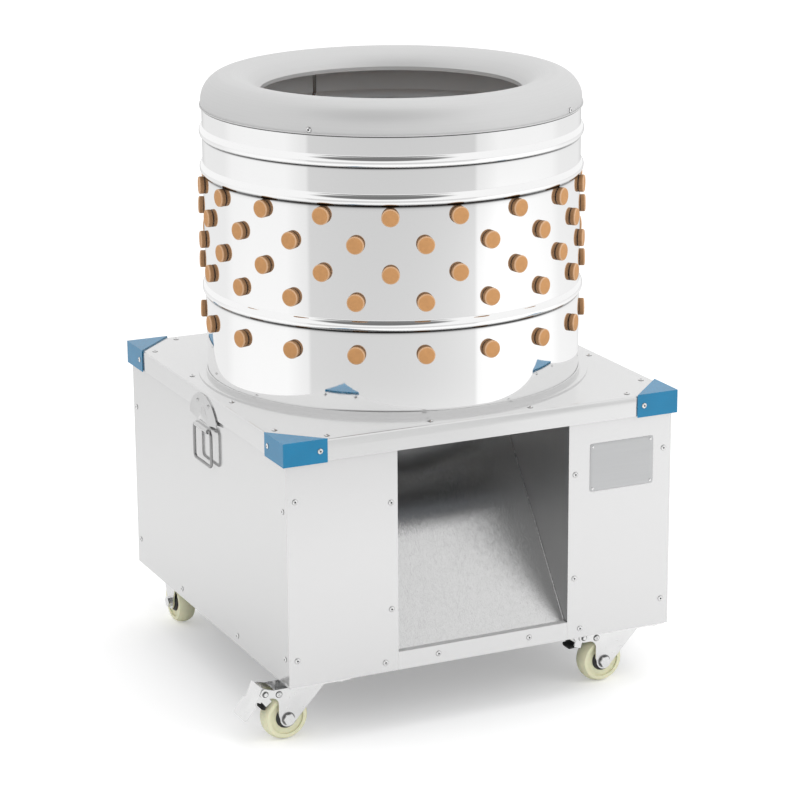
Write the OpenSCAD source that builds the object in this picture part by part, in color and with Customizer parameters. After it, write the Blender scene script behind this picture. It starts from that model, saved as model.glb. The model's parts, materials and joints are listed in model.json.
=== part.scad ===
// Drum poultry plucker: a drum lined with rubber fingers over a turning finger plate,
// on a sheet-metal box with a feather chute and four castors.
// Millimetres. The floor is z = 0, the drum's axis is x = y = 0 and the chute faces -Y.

/* [Box] */
// Width and depth of the table top over its folded skirt
table_w = 668; // [650:1:700]
// Height of the folded skirt round the table top
skirt_h = 33; // [28:1:40]
// Sheet thickness of the table top
table_sheet = 1.5; // [1:0.1:2]
// Outer bend radius along the edges of the table top
table_bend = 3; // [2.5:0.5:5]
// Gap between the skirt and the panels inside it
skirt_gap = 3; // [2:0.5:5]
// Sheet thickness of the panels and the chute
panel_sheet = 1.2; // [0.8:0.1:1.6]
// Height of the box from the underside of its frame to the table top
box_h = 387; // [375:1:410]
// Leg of the triangular corner caps
cap_leg = 72; // [60:1:76]
// Wall of the corner caps
cap_wall = 2; // [1.5:0.1:3]
// Corner caps reach this far below the skirt
cap_drop = 2; // [1:0.5:4]

/* [Frame] */
// Side of the square frame tube
tube = 25; // [20:1:28]
// Wall of the square frame tube
tube_wall = 1.5; // [1:0.1:2.5]
// Width of the beam under the lower bearing
bearing_beam_w = 60; // [50:1:80]
// Height of the middle rails above the underside of the frame
mid_rail_h = 115; // [105:1:130]

/* [Chute] */
// Clear width of the chute opening
chute_w = 294; // [260:1:300]
// Height of the sill below the chute opening
sill_h = 29; // [27:0.5:40]
// Depth of the sill's folded top
sill_fold = 12; // [8:0.5:20]
// Slope of the chute floor from level
chute_angle = 53.6; // [50:0.1:56]
// Setback of the chute walls behind the edges of the opening
chute_setback = 1.5; // [1:0.1:4]
// Width of the feather window in the table top
window_w = 276; // [240:1:280]
// Front edge of the feather window, from the drum's axis
window_front = 250; // [220:1:255]
// Back edge of the feather window, from the drum's axis
window_back = 78; // [75:1:100]

/* [Drum] */
// Outer radius of the drum wall
drum_r = 300; // [290:1:305]
// Sheet thickness of the drum wall and its rim
drum_sheet = 1.5; // [1:0.1:2]
// Heights of the rolled beads above the table top
bead_heights = [141.5, 335, 393]; // [100:0.5:420]
// Height of one rolled bead
bead_h = 18; // [16:1:23]
// How far a rolled bead stands out
bead_proud = 5; // [3:0.5:7]
// Width of the flange of the base ring
ring_w = 14.5; // [10:0.5:18]
// Thickness of the base ring
ring_sheet = 2; // [1.5:0.1:3]
// Height of the base ring's upstand
ring_h = 8; // [6:0.5:12]

/* [Rim] */
// Height of the rim's lower edge above the table top
rim_foot_h = 432.5; // [424:0.5:440]
// Height of the rim's crest above its lower edge
rim_crest_h = 49.5; // [45:0.5:60]
// Radius of the rim's outer shoulder
rim_shoulder = 41.5; // [34:0.5:43]
// How far the turned-out lip stands off the rim's skirt
lip_out = 1.7; // [1:0.1:3]
// Height of the turned-out lip
lip_h = 2; // [1:0.1:4]
// Radius of the mouth
mouth_r = 208; // [195:1:215]
// Drop from the crest to the edge of the mouth
mouth_drop = 27; // [20:0.5:30]
// Depth of the hem turned down round the mouth
mouth_hem = 6; // [4:0.5:12]

/* [Fingers] */
// Heights of the finger rows above the table top, lowest first
row_heights = [97.5, 179.5, 223, 268, 310.5]; // [60:0.5:330]
// Turn of each row from the chute side, in finger pitches
row_turns = [0.23, 0.23, 0.73, 0.23, 0.73]; // [0:0.01:1]
// Fingers in one row
row_count = 18; // [16:1:20]
// Radius of the holes for the fingers
finger_hole_r = 9.5; // [8.5:0.1:10.5]
// Radius of a finger's head
head_r = 13.75; // [12.5:0.25:15]
// Thickness of the two discs of a finger's head
head_disc = 4.4; // [3.5:0.1:5]
// Width of the groove between the discs
head_groove = 1.6; // [1:0.1:2.5]
// Depth of the groove between the discs
groove_depth = 2.2; // [1:0.1:3]
// Radius of the collar behind the wall
collar_r = 12.5; // [11.5:0.1:13.5]
// Thickness of the collar behind the wall
collar_h = 4; // [3:0.1:6]
// Length of the ribbed end of a finger
finger_len = 64; // [50:1:70]
// Radius of the ribbed end at the collar
finger_root_r = 11; // [10:0.1:12]
// Radius of the ribbed end at its tip
finger_tip_r = 8.5; // [7:0.1:9.5]
// Number of ribs on a finger
rib_count = 5; // [3:1:7]
// Width of one rib
rib_w = 4; // [2.5:0.1:6]
// How far a rib stands out
rib_out = 1.2; // [0.6:0.1:2]

/* [Rotor] */
// Radius of the finger plate
plate_r = 280; // [270:1:285]
// Thickness of the finger plate
plate_sheet = 3; // [2:0.1:5]
// Height of the finger plate above the table top
plate_gap = 25; // [20:0.5:32]
// Radii of the rings of fingers on the plate
ring_radii = [60, 115, 190]; // [55:1:200]
// Fingers in each ring
ring_counts = [4, 8, 12]; // [4:1:14]
// Number of sweeper vanes under the plate
vane_count = 4; // [4:4:4]
// Thickness of a sweeper vane
vane_sheet = 3; // [2:0.1:5]
// Gap between the sweeper vanes and the table top
vane_gap = 3; // [2:0.5:6]
// Radius of the hub on the plate
hub_r = 42; // [36:0.5:44]
// Height of the hub's flange
hub_flange = 6; // [4:0.5:9]
// Radius of the hub's cap
hub_cap_r = 26; // [22:0.5:30]
// Height of the hub's cap over its flange
hub_cap_h = 26; // [20:0.5:32]

/* [Drive] */
// Radius of the main shaft
shaft_r = 12.5; // [10:0.5:15]
// Radius of the collar on the main shaft
shaft_collar_r = 36; // [30:0.5:40]
// Thickness of the collar on the main shaft
shaft_collar_h = 8; // [5:0.5:10]
// Width of the bearing flanges
bearing_w = 92; // [84:1:94]
// Thickness of the bearing flanges
bearing_flange = 12; // [8:0.5:16]
// Radius of the bearing bosses
bearing_boss_r = 32; // [26:0.5:36]
// Height of the bearing bosses over the flange
bearing_boss_h = 18; // [12:0.5:24]
// Radius of the driven pulley
driven_r = 150; // [130:1:155]
// Radius of the drive pulley
drive_r = 30; // [26:1:36]
// Width of the pulleys
pulley_w = 20; // [16:0.5:24]
// Distance of the motor's axis behind the drum's axis
motor_y = 215; // [205:1:225]
// Drop from the middle rails to the middle of the belt
belt_drop = 20; // [18:0.5:26]
// Width of the belt
belt_w = 11; // [9:0.5:13]
// Thickness of the belt
belt_t = 8; // [6:0.5:10]
// Radius of the motor's ribbed body
motor_r = 58; // [50:1:62]
// Length of the motor's ribbed body
motor_h = 140; // [120:1:150]
// Number of cooling ribs on the motor
motor_ribs = 24; // [16:1:30]
// Depth of the cooling ribs
motor_rib_out = 6; // [4:0.5:8]
// Width of one cooling rib
motor_rib_w = 2.5; // [2:0.1:4]
// Radius of the motor's shaft
motor_shaft_r = 10; // [8:0.5:12]
// Width of the plate under the motor
motor_plate_w = 176; // [170:1:190]
// Thickness of the plate under the motor
motor_plate_t = 6; // [4:0.5:10]
// Distance between the two beams under the motor
motor_beam_pitch = 130; // [120:1:140]

/* [Castors] */
// Height of the castors, from the floor to the frame
castor_h = 100; // [97:0.5:110]
// Inset of the castor plates from the outer faces of the frame
castor_in = 2.2; // [1:0.1:6]
// Width of the castor top plates
castor_plate_w = 100; // [90:1:102]
// Thickness of the castor top plates
castor_plate_t = 3; // [2:0.1:4]
// Distance of the castor plate bolts from the edges of the plate
plate_bolt_in = 12; // [10:0.5:15]
// Radius of the castor plate bolt heads over the corners
plate_bolt_r = 6; // [5:0.1:7]
// Height of the castor plate bolt heads
plate_bolt_h = 4; // [3:0.5:5]
// Radius of the swivel race
race_r = 28; // [24:0.5:32]
// Radius of the kingpin
kingpin_r = 6; // [5:0.5:8]
// Distance of the wheel's axle behind the kingpin
castor_trail = 42; // [40:0.5:46]
// Radius of the wheels at the middle of the tread
wheel_r = 37.5; // [36:0.5:39]
// Width of the wheels across the tread
wheel_w = 28; // [24:0.5:30]
// Width of the wheels across the hub
wheel_hub_w = 32; // [30:0.5:34]
// Radius of the crown across the tread
tread_crown = 22; // [19:0.5:30]
// Inner radius of the wheel's rim
wheel_rim_r = 27; // [24:0.5:29]
// Thickness of the wheel's web
wheel_web = 22; // [14:0.5:24]
// Radius of the wheel's hub
wheel_hub_r = 11; // [9:0.5:14]
// Radius of the axle bolts
axle_r = 5; // [4:0.5:6]
// Radius of the axle bolt heads over the corners
axle_head_r = 9.2; // [8:0.1:10]
// Height of the axle bolt heads
axle_head_h = 6; // [4:0.5:8]
// Sheet thickness of the forks
fork_sheet = 2.5; // [2:0.1:3]
// Radius of the fork round the axle
axle_boss_r = 13; // [11:0.5:15]
// Reach of the fork in front of the kingpin
fork_nose = 19; // [17:0.5:24]

/* [Brake] */
// Distance of the brake pedal's pivot behind the kingpin
pedal_back = 79; // [77:0.5:82]
// Height of the brake pedal's pivot above the floor
pedal_pivot_z = 83; // [81:0.5:84]
// Radius of the fork's arm round the pedal's pivot
pedal_boss_r = 8; // [7:0.5:8.5]
// Radius of the pedal's pivot pin
pedal_pin_r = 3; // [2.5:0.25:4]
// Width of the brake pedal's foot
pedal_w = 50; // [44:1:54]
// Length of the brake pedal's foot
foot_len = 29.7; // [26:0.1:34]
// Corner radius of the brake pedal's foot
foot_corner = 7; // [5:0.5:10]
// Angle by which the foot flares out from the tongue
foot_flare = 14; // [5:1:20]
// Width of the brake pedal's tongue
tongue_w = 38; // [34:0.5:42]
// Length of the brake pedal's tongue below its pivot
tongue_len = 20; // [16:0.5:24]
// Length of the brake pedal above its pivot
pedal_up = 8; // [5:0.5:9]
// Sheet thickness of the brake pedal
pedal_sheet = 2; // [1.5:0.1:2.5]
// Slope of the pressed brake pedal's tongue from level
pedal_slope = 66; // [62:1:68]
// Angle through which the brake pedal lifts
pedal_lift = 54; // [40:1:56]
// Width of the brake block
block_w = 26; // [20:0.5:28]
// Length of the brake block round the wheel
block_len = 18; // [14:0.5:20]
// Thickness of the brake block
block_t = 8; // [6:0.5:9]

/* [Handles] */
// Distance of the handles from the middle of the sides, towards the front
handle_shift = 10; // [0:1:30]
// Width of the handle plate
handle_w = 112; // [100:1:120]
// Sheet thickness of the handle plate
handle_sheet = 2; // [1.5:0.1:3]
// Drop from the table top to the top of the handle plate
handle_top = 3; // [2:0.5:6]
// Drop from the table top to the bail's pivot
bail_drop = 58; // [52:0.5:64]
// Radius of the rivet heads on the handle plate
rivet_r = 4.5; // [3:0.1:6]
// Height of the rivet heads on the handle plate
rivet_h = 2; // [1:0.1:3]
// Distance of the rivets from the middle of the handle plate
rivet_at = 22.5; // [18:0.5:30]
// Width of the knuckle that holds the bail
knuckle_w = 53; // [46:1:58]
// Distance of the bail's pivot off the panel
bail_off = 7.5; // [7:0.1:9]
// Radius of the bail's wire
wire_r = 2.5; // [2:0.1:3]
// Width of the bail between the middles of its legs
bail_w = 72; // [66:1:80]
// Height of the bail between the middles of its bars
bail_h = 57; // [48:1:66]
// Bend radius at the corners of the bail
bail_bend = 8; // [6:0.5:12]

/* [Switch box] */
// Distance of the switch box behind the middle of the right side
switch_y = 130; // [110:1:150]
// Height of the middle of the switch box above the floor
switch_z = 330; // [300:1:340]
// Width of the switch box
switch_w = 90; // [80:1:110]
// Height of the switch box
switch_h = 140; // [125:1:160]
// Depth of the switch box
switch_d = 46; // [40:0.5:50]
// Wall of the switch box
switch_wall = 3; // [2:0.1:4]
// Radius of the buttons
button_r = 15; // [12:0.5:17]
// How far the buttons stand out
button_out = 16; // [10:0.5:18]
// Travel of the buttons
button_travel = 4; // [3:0.5:5]
// Radius of the cable gland's nut over its corners
gland_nut_r = 12; // [10:0.5:14]
// Height of the cable gland's nut
gland_nut_h = 6; // [5:0.5:8]
// Radius of the cable gland's body
gland_r = 9.5; // [9:0.1:11]
// Length of the cable gland below the switch box
gland_len = 20; // [16:0.5:26]
// Radius of the cable gland's thread
gland_thread_r = 8; // [7:0.1:9]
// Radius of the cable gland's bore
gland_bore_r = 4.5; // [3:0.1:6]
// Distance between the two buttons
button_pitch = 60; // [50:1:64]

/* [Screws] */
// Radius of the screw heads
screw_head_r = 4; // [3:0.1:5]
// Height of the screw heads
screw_head_h = 1.8; // [1.2:0.1:2.5]
// Radius of the screw shanks
screw_r = 2; // [1.5:0.1:2.5]
// Radius of the drive recess in the screw heads
screw_recess_r = 1.5; // [1.2:0.1:1.8]
// Depth of the drive recess in the screw heads
screw_recess_d = 1.1; // [0.8:0.1:1.4]
// Height of the lower post screws above the frame's underside
post_screw_low = 43; // [35:1:60]
// Drop of the upper post screws of the sides and the back below the table top
post_screw_drop = 109; // [90:1:130]
// Drop of the upper post screws of the front below the table top
front_screw_drop = 92; // [80:1:120]
// Height of the lower screws beside the chute above the frame's underside
jamb_screw_low = 101; // [80:1:120]
// Drop of the upper screws beside the chute below the table top
jamb_screw_drop = 115; // [90:1:130]
// Distance of the screws beside the chute from the edge of their post
jamb_screw_in = 8.5; // [8:0.5:14]
// Distance of the lowest front screws from the chute edge of the same post
foot_screw_in = 19.5; // [14:0.5:20]
// Distance of the lower rail screws from the middle of the sides
rail_screw = 122; // [100:1:140]
// Distance of the sill screws from the middle of the front
sill_screw = 79; // [60:1:100]
// Lift of the lowest screws above the middle of their tube
foot_screw_lift = 3; // [0:0.5:6]
// Distance of the outer table screws from the ends of the table top
table_screw_end = 78; // [76:1:90]
// Distance of the cap screws from the ends of the cap legs
cap_screw_in = 12; // [10:0.5:16]
// Height of the rim screws above the foot of the rim
rim_screw_h = 6.5; // [6:0.5:8]

/* [Clearances] */
// Radial running clearance of shafts and pins
run_gap = 0.05; // [0.02:0.01:0.1]
// Gap at welds and where fixed pieces meet
seat_gap = 0.1; // [0.05:0.05:0.2]
// Gap between moving faces
move_gap = 0.5; // [0.3:0.1:0.8]

/* [Hidden] */
$fn = 64;
// Overshoot of cutting solids
cut = 1;
panel_plane = table_w / 2 - table_sheet - skirt_gap;
frame_face = panel_plane - panel_sheet - seat_gap;
z_base = castor_h;
z_table = z_base + box_h;
z_under = z_table - table_sheet;
z_upper = z_under - tube;
z_mid = z_base + mid_rail_h;
post_in = frame_face - tube;
sides = [-1, 1];

// Chute
wall_x = chute_w / 2 + chute_setback;
jamb_x = wall_x + panel_sheet + seat_gap;
z_sill = z_base + sill_h;
chute_front_y = -panel_plane + sill_fold + seat_gap;
chute_rise = tan(chute_angle);
chute_top_z = z_under - seat_gap;
chute_top_y = chute_front_y + (chute_top_z - z_sill) / chute_rise;
// Thickness of the sloping floor measured level
chute_level = panel_sheet / sin(chute_angle);

// Drum and rim
bead_r = (pow(bead_h / 2, 2) + pow(bead_proud, 2)) / (2 * bead_proud);
drum_in = drum_r - drum_sheet;
rim_in = drum_r + 3 * seat_gap;
rim_out = rim_in + drum_sheet;
rim_z = z_table + rim_foot_h;
crest_r = rim_out - rim_shoulder;
shoulder_z = rim_crest_h - rim_shoulder;
shoulder_in = rim_shoulder - drum_sheet;
seat_h = shoulder_z + sqrt(pow(shoulder_in - 2 * seat_gap, 2) - pow(drum_r - crest_r, 2));
drum_h = rim_foot_h + seat_h;
slope_run = crest_r - mouth_r;
slope_r = (pow(slope_run, 2) + pow(mouth_drop, 2)) / (2 * mouth_drop);
mouth_z = rim_crest_h - mouth_drop;

// Fingers
finger_pitch = 360 / row_count;
head_h = 2 * head_disc + head_groove;
neck_r = finger_hole_r - run_gap;
// A flat collar against the round wall stands off by its sagitta
collar_stand = pow(collar_r, 2) / (2 * drum_in) + seat_gap;

// Rotor and drive
plate_z = z_table + plate_gap;
plate_top = plate_z + plate_sheet;
belt_z = z_mid - belt_drop;
shaft_bottom = belt_z - pulley_w / 2 - 2 * cut;
shaft_top = plate_top + hub_flange + hub_cap_h / 2;
groove_r = driven_r - belt_t;
drive_groove_r = drive_r - belt_t;
motor_base = z_mid + tube + motor_plate_t;
flange_h = 10;
motor_flange_r = motor_r + motor_rib_out + 12;
motor_cap_h = 34;

// Castors
castor_at = frame_face - castor_in - castor_plate_w / 2;
axle_z = wheel_r;
fork_in = wheel_hub_w / 2 + move_gap;
fork_out = fork_in + fork_sheet;
race_z = castor_h - castor_plate_t - 9;
crown_z = race_z - move_gap;
crown_under = crown_z - fork_sheet;
pedal_pivot = [-pedal_back, pedal_pivot_z];
axle_point = [-castor_trail, axle_z];
pedal_stand = pedal_boss_r + 1.3;
pin_out = 5;
block_face = wheel_r + move_gap;
lug_wide = block_len * 2 / 3;
// Lowest part of the block before its hollow is cut
block_low = sqrt(pow(block_face, 2) - pow(block_len, 2)) - cut;
// Direction from the axle to the pedal's pivot; the block lies on the side that swings clear
block_angle = atan2(pedal_pivot_z - axle_z, castor_trail - pedal_back);
lug_reach = norm(pedal_pivot - axle_point) - block_face - block_t / 3;

// Handles
handle_z = z_table - handle_top;
bail_z = z_table - bail_drop;
bail_x = panel_plane + bail_off;
skirt_face = table_w / 2;
rivet_z = z_table - skirt_h * 0.55;
knuckle_r = wire_r + run_gap + handle_sheet;

// Screw places, as [distance along the face, height]
corner_screw = frame_face - tube / 2;
jamb_screw = jamb_x + jamb_screw_in;
low_screw_z = z_base + tube / 2 + foot_screw_lift;
post_screws_z = [z_base + post_screw_low, z_table - post_screw_drop];
front_screws_z = [z_base + post_screw_low, z_table - front_screw_drop];
jamb_screws_z = [z_base + jamb_screw_low, z_table - jamb_screw_drop];
table_screw_row = [-1, -1 / 3, 1 / 3, 1] * (table_w / 2 - table_screw_end);
table_screw_in = frame_face - tube / 2;
rim_screw_turn = 41;

function corner_places(levels) = [for (s = sides) for (z = levels) [s * corner_screw, z]];
jamb_places = [for (s = sides) for (z = jamb_screws_z) [s * jamb_screw, z]];
foot_places = [for (s = sides) [s * (jamb_x + foot_screw_in), low_screw_z]];
rail_places = [for (s = sides) [s * rail_screw, low_screw_z]];
sill_places = [for (s = sides) [s * sill_screw, low_screw_z]];
front_places = concat(corner_places(front_screws_z), jamb_places, foot_places);
side_places = concat(corner_places(post_screws_z), rail_places);

// Places on the four faces of the box, with local +Z pointing out of the box
module on_front(place, out = panel_plane)
    translate([place[0], -out, place[1]]) rotate([90, 0, 0]) children();
module on_back(place, out = panel_plane)
    translate([place[0], out, place[1]]) rotate([-90, 0, 0]) children();
module on_left(place, out = panel_plane)
    translate([-out, place[0], place[1]]) rotate([0, -90, 0]) children();
module on_right(place, out = panel_plane)
    translate([out, place[0], place[1]]) rotate([0, 90, 0]) children();

// A pan-head screw whose head sits on z = 0 and whose shank fills a sheet below it
module screw(sheet) {
    rotate_extrude()
        polygon([
            [0, -sheet], [screw_r, -sheet], [screw_r, 0], [screw_head_r, 0],
            [screw_head_r, screw_head_h * 0.4], [screw_head_r * 0.55, screw_head_h],
            [screw_recess_r, screw_head_h], [screw_recess_r, screw_head_h - screw_recess_d],
            [0, screw_head_h - screw_recess_d]
        ]);
}

module screw_hole(sheet) {
    translate([0, 0, -sheet - cut]) cylinder(r = screw_r + run_gap, h = sheet + 2 * cut);
}

// A block whose top edges are rounded along all four sides, standing on z = 0
module bent_block(w, h, bend) {
    module rounded_side() {
        rotate([90, 0, 0])
            linear_extrude(w, center = true) {
                translate([-w / 2, 0]) square([w, h - bend]);
                translate([-w / 2 + bend, 0]) square([w - 2 * bend, h]);
                for (s = sides) translate([s * (w / 2 - bend), h - bend]) circle(bend);
            }
    }
    intersection() {
        rounded_side();
        rotate([0, 0, 90]) rounded_side();
    }
}

// Outer form of the table top, swollen by gap
module table_block(gap = 0) {
    translate([0, 0, z_table - skirt_h - cap_drop - cut])
        bent_block(table_w + 2 * gap, skirt_h + cap_drop + cut + gap, table_bend + gap);
}

// A square tube from a corner point, open along one axis
module square_tube(at, size, axis) {
    translate(at) difference() {
        cube(size);
        translate([for (i = [0:2]) i == axis ? -cut : tube_wall])
            cube([for (i = [0:2]) i == axis ? size[i] + 2 * cut : size[i] - 2 * tube_wall]);
    }
}

// Drum: a rolled wall with hollow beads
module wall_profile() {
    difference() {
        union() {
            translate([drum_in, 0]) square([drum_sheet, drum_h]);
            for (h = bead_heights)
                intersection() {
                    translate([drum_r + bead_proud - bead_r, h]) circle(bead_r);
                    translate([drum_in, h - bead_r]) square([bead_r, 2 * bead_r]);
                }
        }
        for (h = bead_heights)
            translate([drum_r + bead_proud - bead_r, h]) circle(bead_r - drum_sheet);
    }
}

function row_turn(row, i) = -90 + finger_pitch * (row_turns[row] + i);

module on_drum(row, i) {
    translate([0, 0, z_table + row_heights[row]])
        rotate([0, 0, row_turn(row, i)])
            translate([drum_r, 0, 0]) rotate([0, 90, 0]) children();
}

module drum() {
    color("gainsboro") difference() {
        translate([0, 0, z_table]) rotate_extrude() wall_profile();
        for (row = [0:len(row_heights) - 1])
            for (i = [0:row_count - 1])
                on_drum(row, i) cylinder(r = finger_hole_r, h = 4 * drum_sheet, center = true);
        for (i = [0:3]) on_rim(i) screw_hole(4 * drum_sheet);
    }
}

module on_rim(i) {
    translate([0, 0, rim_z + rim_screw_h])
        rotate([0, 0, rim_screw_turn + 90 * i]) translate([rim_out, 0, 0]) rotate([0, 90, 0]) children();
}

// Rim: skirt with a lip, round shoulder, inward slope and a hem round the mouth
module drum_rim() {
    color("silver") difference() {
        translate([0, 0, rim_z]) rotate_extrude() {
            translate([rim_in, 0]) square([drum_sheet, shoulder_z]);
            translate([rim_in, 0]) square([drum_sheet + lip_out, lip_h]);
            intersection() {
                translate([crest_r, shoulder_z]) difference() {
                    circle(rim_shoulder);
                    circle(shoulder_in);
                }
                translate([crest_r, shoulder_z]) square(rim_shoulder);
            }
            intersection() {
                translate([crest_r, rim_crest_h - slope_r]) difference() {
                    circle(slope_r);
                    circle(slope_r - drum_sheet);
                }
                translate([mouth_r, mouth_z - 3 * drum_sheet])
                    square([slope_run, mouth_drop + 4 * drum_sheet]);
            }
            translate([mouth_r, mouth_z - mouth_hem]) square([drum_sheet, mouth_hem - 0.3 * drum_sheet]);
        }
        for (i = [0:3]) on_rim(i) screw_hole(2 * drum_sheet);
    }
}

module base_ring() {
    color("silver") translate([0, 0, z_table]) rotate_extrude() {
        translate([rim_in, 0]) square([ring_w, ring_sheet]);
        translate([rim_in, 0]) square([ring_sheet, ring_h]);
    }
}

// A rubber finger: z = 0 is the outer face of its wall and the head points along +Z
module finger(wall, stand) {
    collar_top = -wall - stand;
    root = collar_top - collar_h;
    tip = root - finger_len;
    pitch = finger_len / (rib_count + 1);
    function body_r(z) = finger_tip_r + (finger_root_r - finger_tip_r) * (z - tip) / finger_len;
    ribs = [
        for (i = [1:rib_count])
            let (top = root - i * pitch + rib_w / 2)
                each [
                    [body_r(top), top], [body_r(top) + rib_out, top],
                    [body_r(top) + rib_out, top - rib_w], [body_r(top - rib_w), top - rib_w]
                ]
    ];
    rotate_extrude($fn = 32)
        polygon(concat(
            [
                [0, head_h], [head_r - 1, head_h], [head_r, head_h - 1], [head_r, head_disc + head_groove],
                [head_r - groove_depth, head_disc + head_groove], [head_r - groove_depth, head_disc],
                [head_r, head_disc], [head_r, seat_gap], [neck_r, seat_gap], [neck_r, collar_top],
                [collar_r, collar_top], [collar_r, root], [body_r(root), root]
            ],
            ribs,
            [
                [finger_tip_r, tip], [finger_tip_r * 0.6, tip - finger_tip_r * 0.4],
                [0, tip - finger_tip_r * 0.4]
            ]
        ));
}

module finger_row(row) {
    color("peru") for (i = [0:row_count - 1]) on_drum(row, i) finger(drum_sheet, collar_stand);
}

// Table top: a folded tray with the feather window and the hole for the shaft
module table_top() {
    color("whitesmoke") difference() {
        translate([0, 0, z_table - skirt_h]) bent_block(table_w, skirt_h, table_bend);
        translate([0, 0, z_table - skirt_h - cut])
            bent_block(table_w - 2 * table_sheet, skirt_h - table_sheet + cut, table_bend - table_sheet);
        translate([-window_w / 2, -window_front, z_under - cut])
            cube([window_w, window_front - window_back, table_sheet + 2 * cut]);
        translate([0, 0, z_under - cut]) cylinder(r = shaft_r + 4, h = table_sheet + 2 * cut);
        table_screw_places() screw_hole(table_sheet);
        cap_screw_places() screw_hole(cap_wall + table_sheet);
    }
}

module table_screw_places() {
    for (a = table_screw_row) for (s = sides) {
        translate([a, s * table_screw_in, z_table]) children();
        translate([s * table_screw_in, a, z_table]) children();
    }
}

module cap_screw_places() {
    at = table_w / 2 - cap_leg + cap_wall + cap_screw_in;
    out = table_w / 2 + cap_wall;
    for (s = sides) {
        on_front([s * at, z_table - skirt_h / 2], out) children();
        on_back([s * at, z_table - skirt_h / 2], out) children();
        on_left([s * at, z_table - skirt_h / 2], out) children();
        on_right([s * at, z_table - skirt_h / 2], out) children();
    }
}

// Corner caps: three-sided shells over the corners of the table top
module corner_caps() {
    corner = table_w / 2 + cap_wall;
    color("steelblue") difference() {
        for (turn = [0, 90, 180, 270])
            rotate([0, 0, turn])
                translate([0, 0, z_table - skirt_h - cap_drop])
                    linear_extrude(skirt_h + cap_drop + cap_wall)
                        polygon([[corner, corner], [corner - cap_leg, corner], [corner, corner - cap_leg]]);
        table_block(seat_gap / 2);
        cap_screw_places() screw_hole(cap_wall + table_sheet);
    }
}

// Panels of the box
module sheet_panel(x0, x1, top) {
    translate([x0, -panel_plane, z_base]) cube([x1 - x0, panel_sheet, top - z_base]);
}

module front_panel(side) {
    x0 = side > 0 ? chute_w / 2 : -panel_plane;
    x1 = side > 0 ? panel_plane : -chute_w / 2;
    color("whitesmoke") difference() {
        sheet_panel(x0, x1, chute_top_z);
        for (place = front_places) if (place[0] * side > 0) on_front(place) screw_hole(panel_sheet);
    }
}

module back_panel() {
    color("whitesmoke") difference() {
        rotate([0, 0, 180]) sheet_panel(-panel_plane, panel_plane, chute_top_z);
        for (place = side_places) on_back(place) screw_hole(panel_sheet);
    }
}

module side_panel(side) {
    reach = panel_plane - panel_sheet - seat_gap;
    color("whitesmoke") difference() {
        rotate([0, 0, side * 90]) sheet_panel(-reach, reach, chute_top_z);
        for (place = side_places)
            if (side > 0) on_right(place) screw_hole(panel_sheet);
            else on_left(place) screw_hole(panel_sheet);
    }
}

// Sill: an angle strip below the chute opening
module sill() {
    half = chute_w / 2 - seat_gap;
    color("whitesmoke") difference() {
        translate([-half, -panel_plane, z_base]) {
            cube([2 * half, panel_sheet, sill_h]);
            translate([0, 0, sill_h - panel_sheet]) cube([2 * half, sill_fold, panel_sheet]);
        }
        for (place = sill_places) on_front(place) screw_hole(panel_sheet);
    }
}

// Turns a drawing of [y, z] points into a sheet that is thick along X
module across(width) rotate([90, 0, 90]) linear_extrude(width) children();

module chute_floor() {
    half = wall_x - seat_gap;
    color("lightgray") translate([-half, 0, 0]) across(2 * half)
        polygon([
            [chute_front_y, z_sill], [chute_top_y, chute_top_z],
            [chute_top_y + chute_level, chute_top_z], [chute_front_y + chute_level, z_sill]
        ]);
}

module chute_wall(side) {
    front = -frame_face + seat_gap;
    rail_back = -post_in + seat_gap;
    x0 = side > 0 ? wall_x : -wall_x - panel_sheet;
    color("lightgray") translate([x0, 0, 0]) across(panel_sheet)
        polygon([
            [front, z_sill], [front, z_upper - seat_gap], [rail_back, z_upper - seat_gap],
            [rail_back, chute_top_z], [chute_top_y + chute_level, chute_top_z],
            [chute_front_y + chute_level, z_sill]
        ]);
}

// Frame of square tube, each tube butted to the next at a weld
module frame_tubes() {
    span = 2 * (post_in - seat_gap);
    post_mid = frame_face - tube / 2;
    post_top = z_upper - seat_gap;
    color("lightslategray") {
        for (sx = sides) for (sy = sides)
            square_tube([sx * post_mid - tube / 2, sy * post_mid - tube / 2, z_base],
                [tube, tube, post_top - z_base], 2);
        for (s = sides)
            square_tube([s * (jamb_x + tube / 2) - tube / 2, -frame_face, z_base + tube + seat_gap],
                [tube, tube, post_top - z_base - tube - seat_gap], 2);
        for (s = sides) {
            y0 = s * post_mid - tube / 2;
            square_tube([-frame_face, y0, z_upper], [2 * frame_face, tube, tube], 0);
            square_tube([-span / 2, y0, z_base], [span, tube, tube], 0);
            for (z = [z_upper, z_base, z_mid])
                square_tube([y0, -span / 2, z], [tube, span, tube], 1);
        }
    }
}

module cross_beams() {
    reach = post_in - seat_gap;
    color("lightslategray") difference() {
        union() {
            for (s = sides)
                translate([0, motor_y + s * motor_beam_pitch / 2, 0])
                    square_tube([-reach, -tube / 2, z_mid], [2 * reach, tube, tube], 0);
            square_tube([-reach, -bearing_beam_w / 2, z_mid], [2 * reach, bearing_beam_w, tube], 0);
        }
        translate([0, 0, z_mid - cut]) cylinder(r = shaft_r + 2, h = tube + 2 * cut);
    }
}

// A four-sided flange bearing standing on z = 0
module flange_bearing() {
    difference() {
        union() {
            intersection() {
                translate([-bearing_w / 2, -bearing_w / 2, 0]) cube([bearing_w, bearing_w, bearing_flange]);
                cylinder(r = bearing_w * 0.62, h = bearing_flange);
            }
            cylinder(r = bearing_boss_r, h = bearing_flange + bearing_boss_h);
        }
        translate([0, 0, -cut])
            cylinder(r = shaft_r + run_gap, h = bearing_flange + bearing_boss_h + 2 * cut);
    }
}

module upper_bearing() {
    color("dimgray") translate([0, 0, z_under]) mirror([0, 0, 1]) flange_bearing();
}

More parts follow.
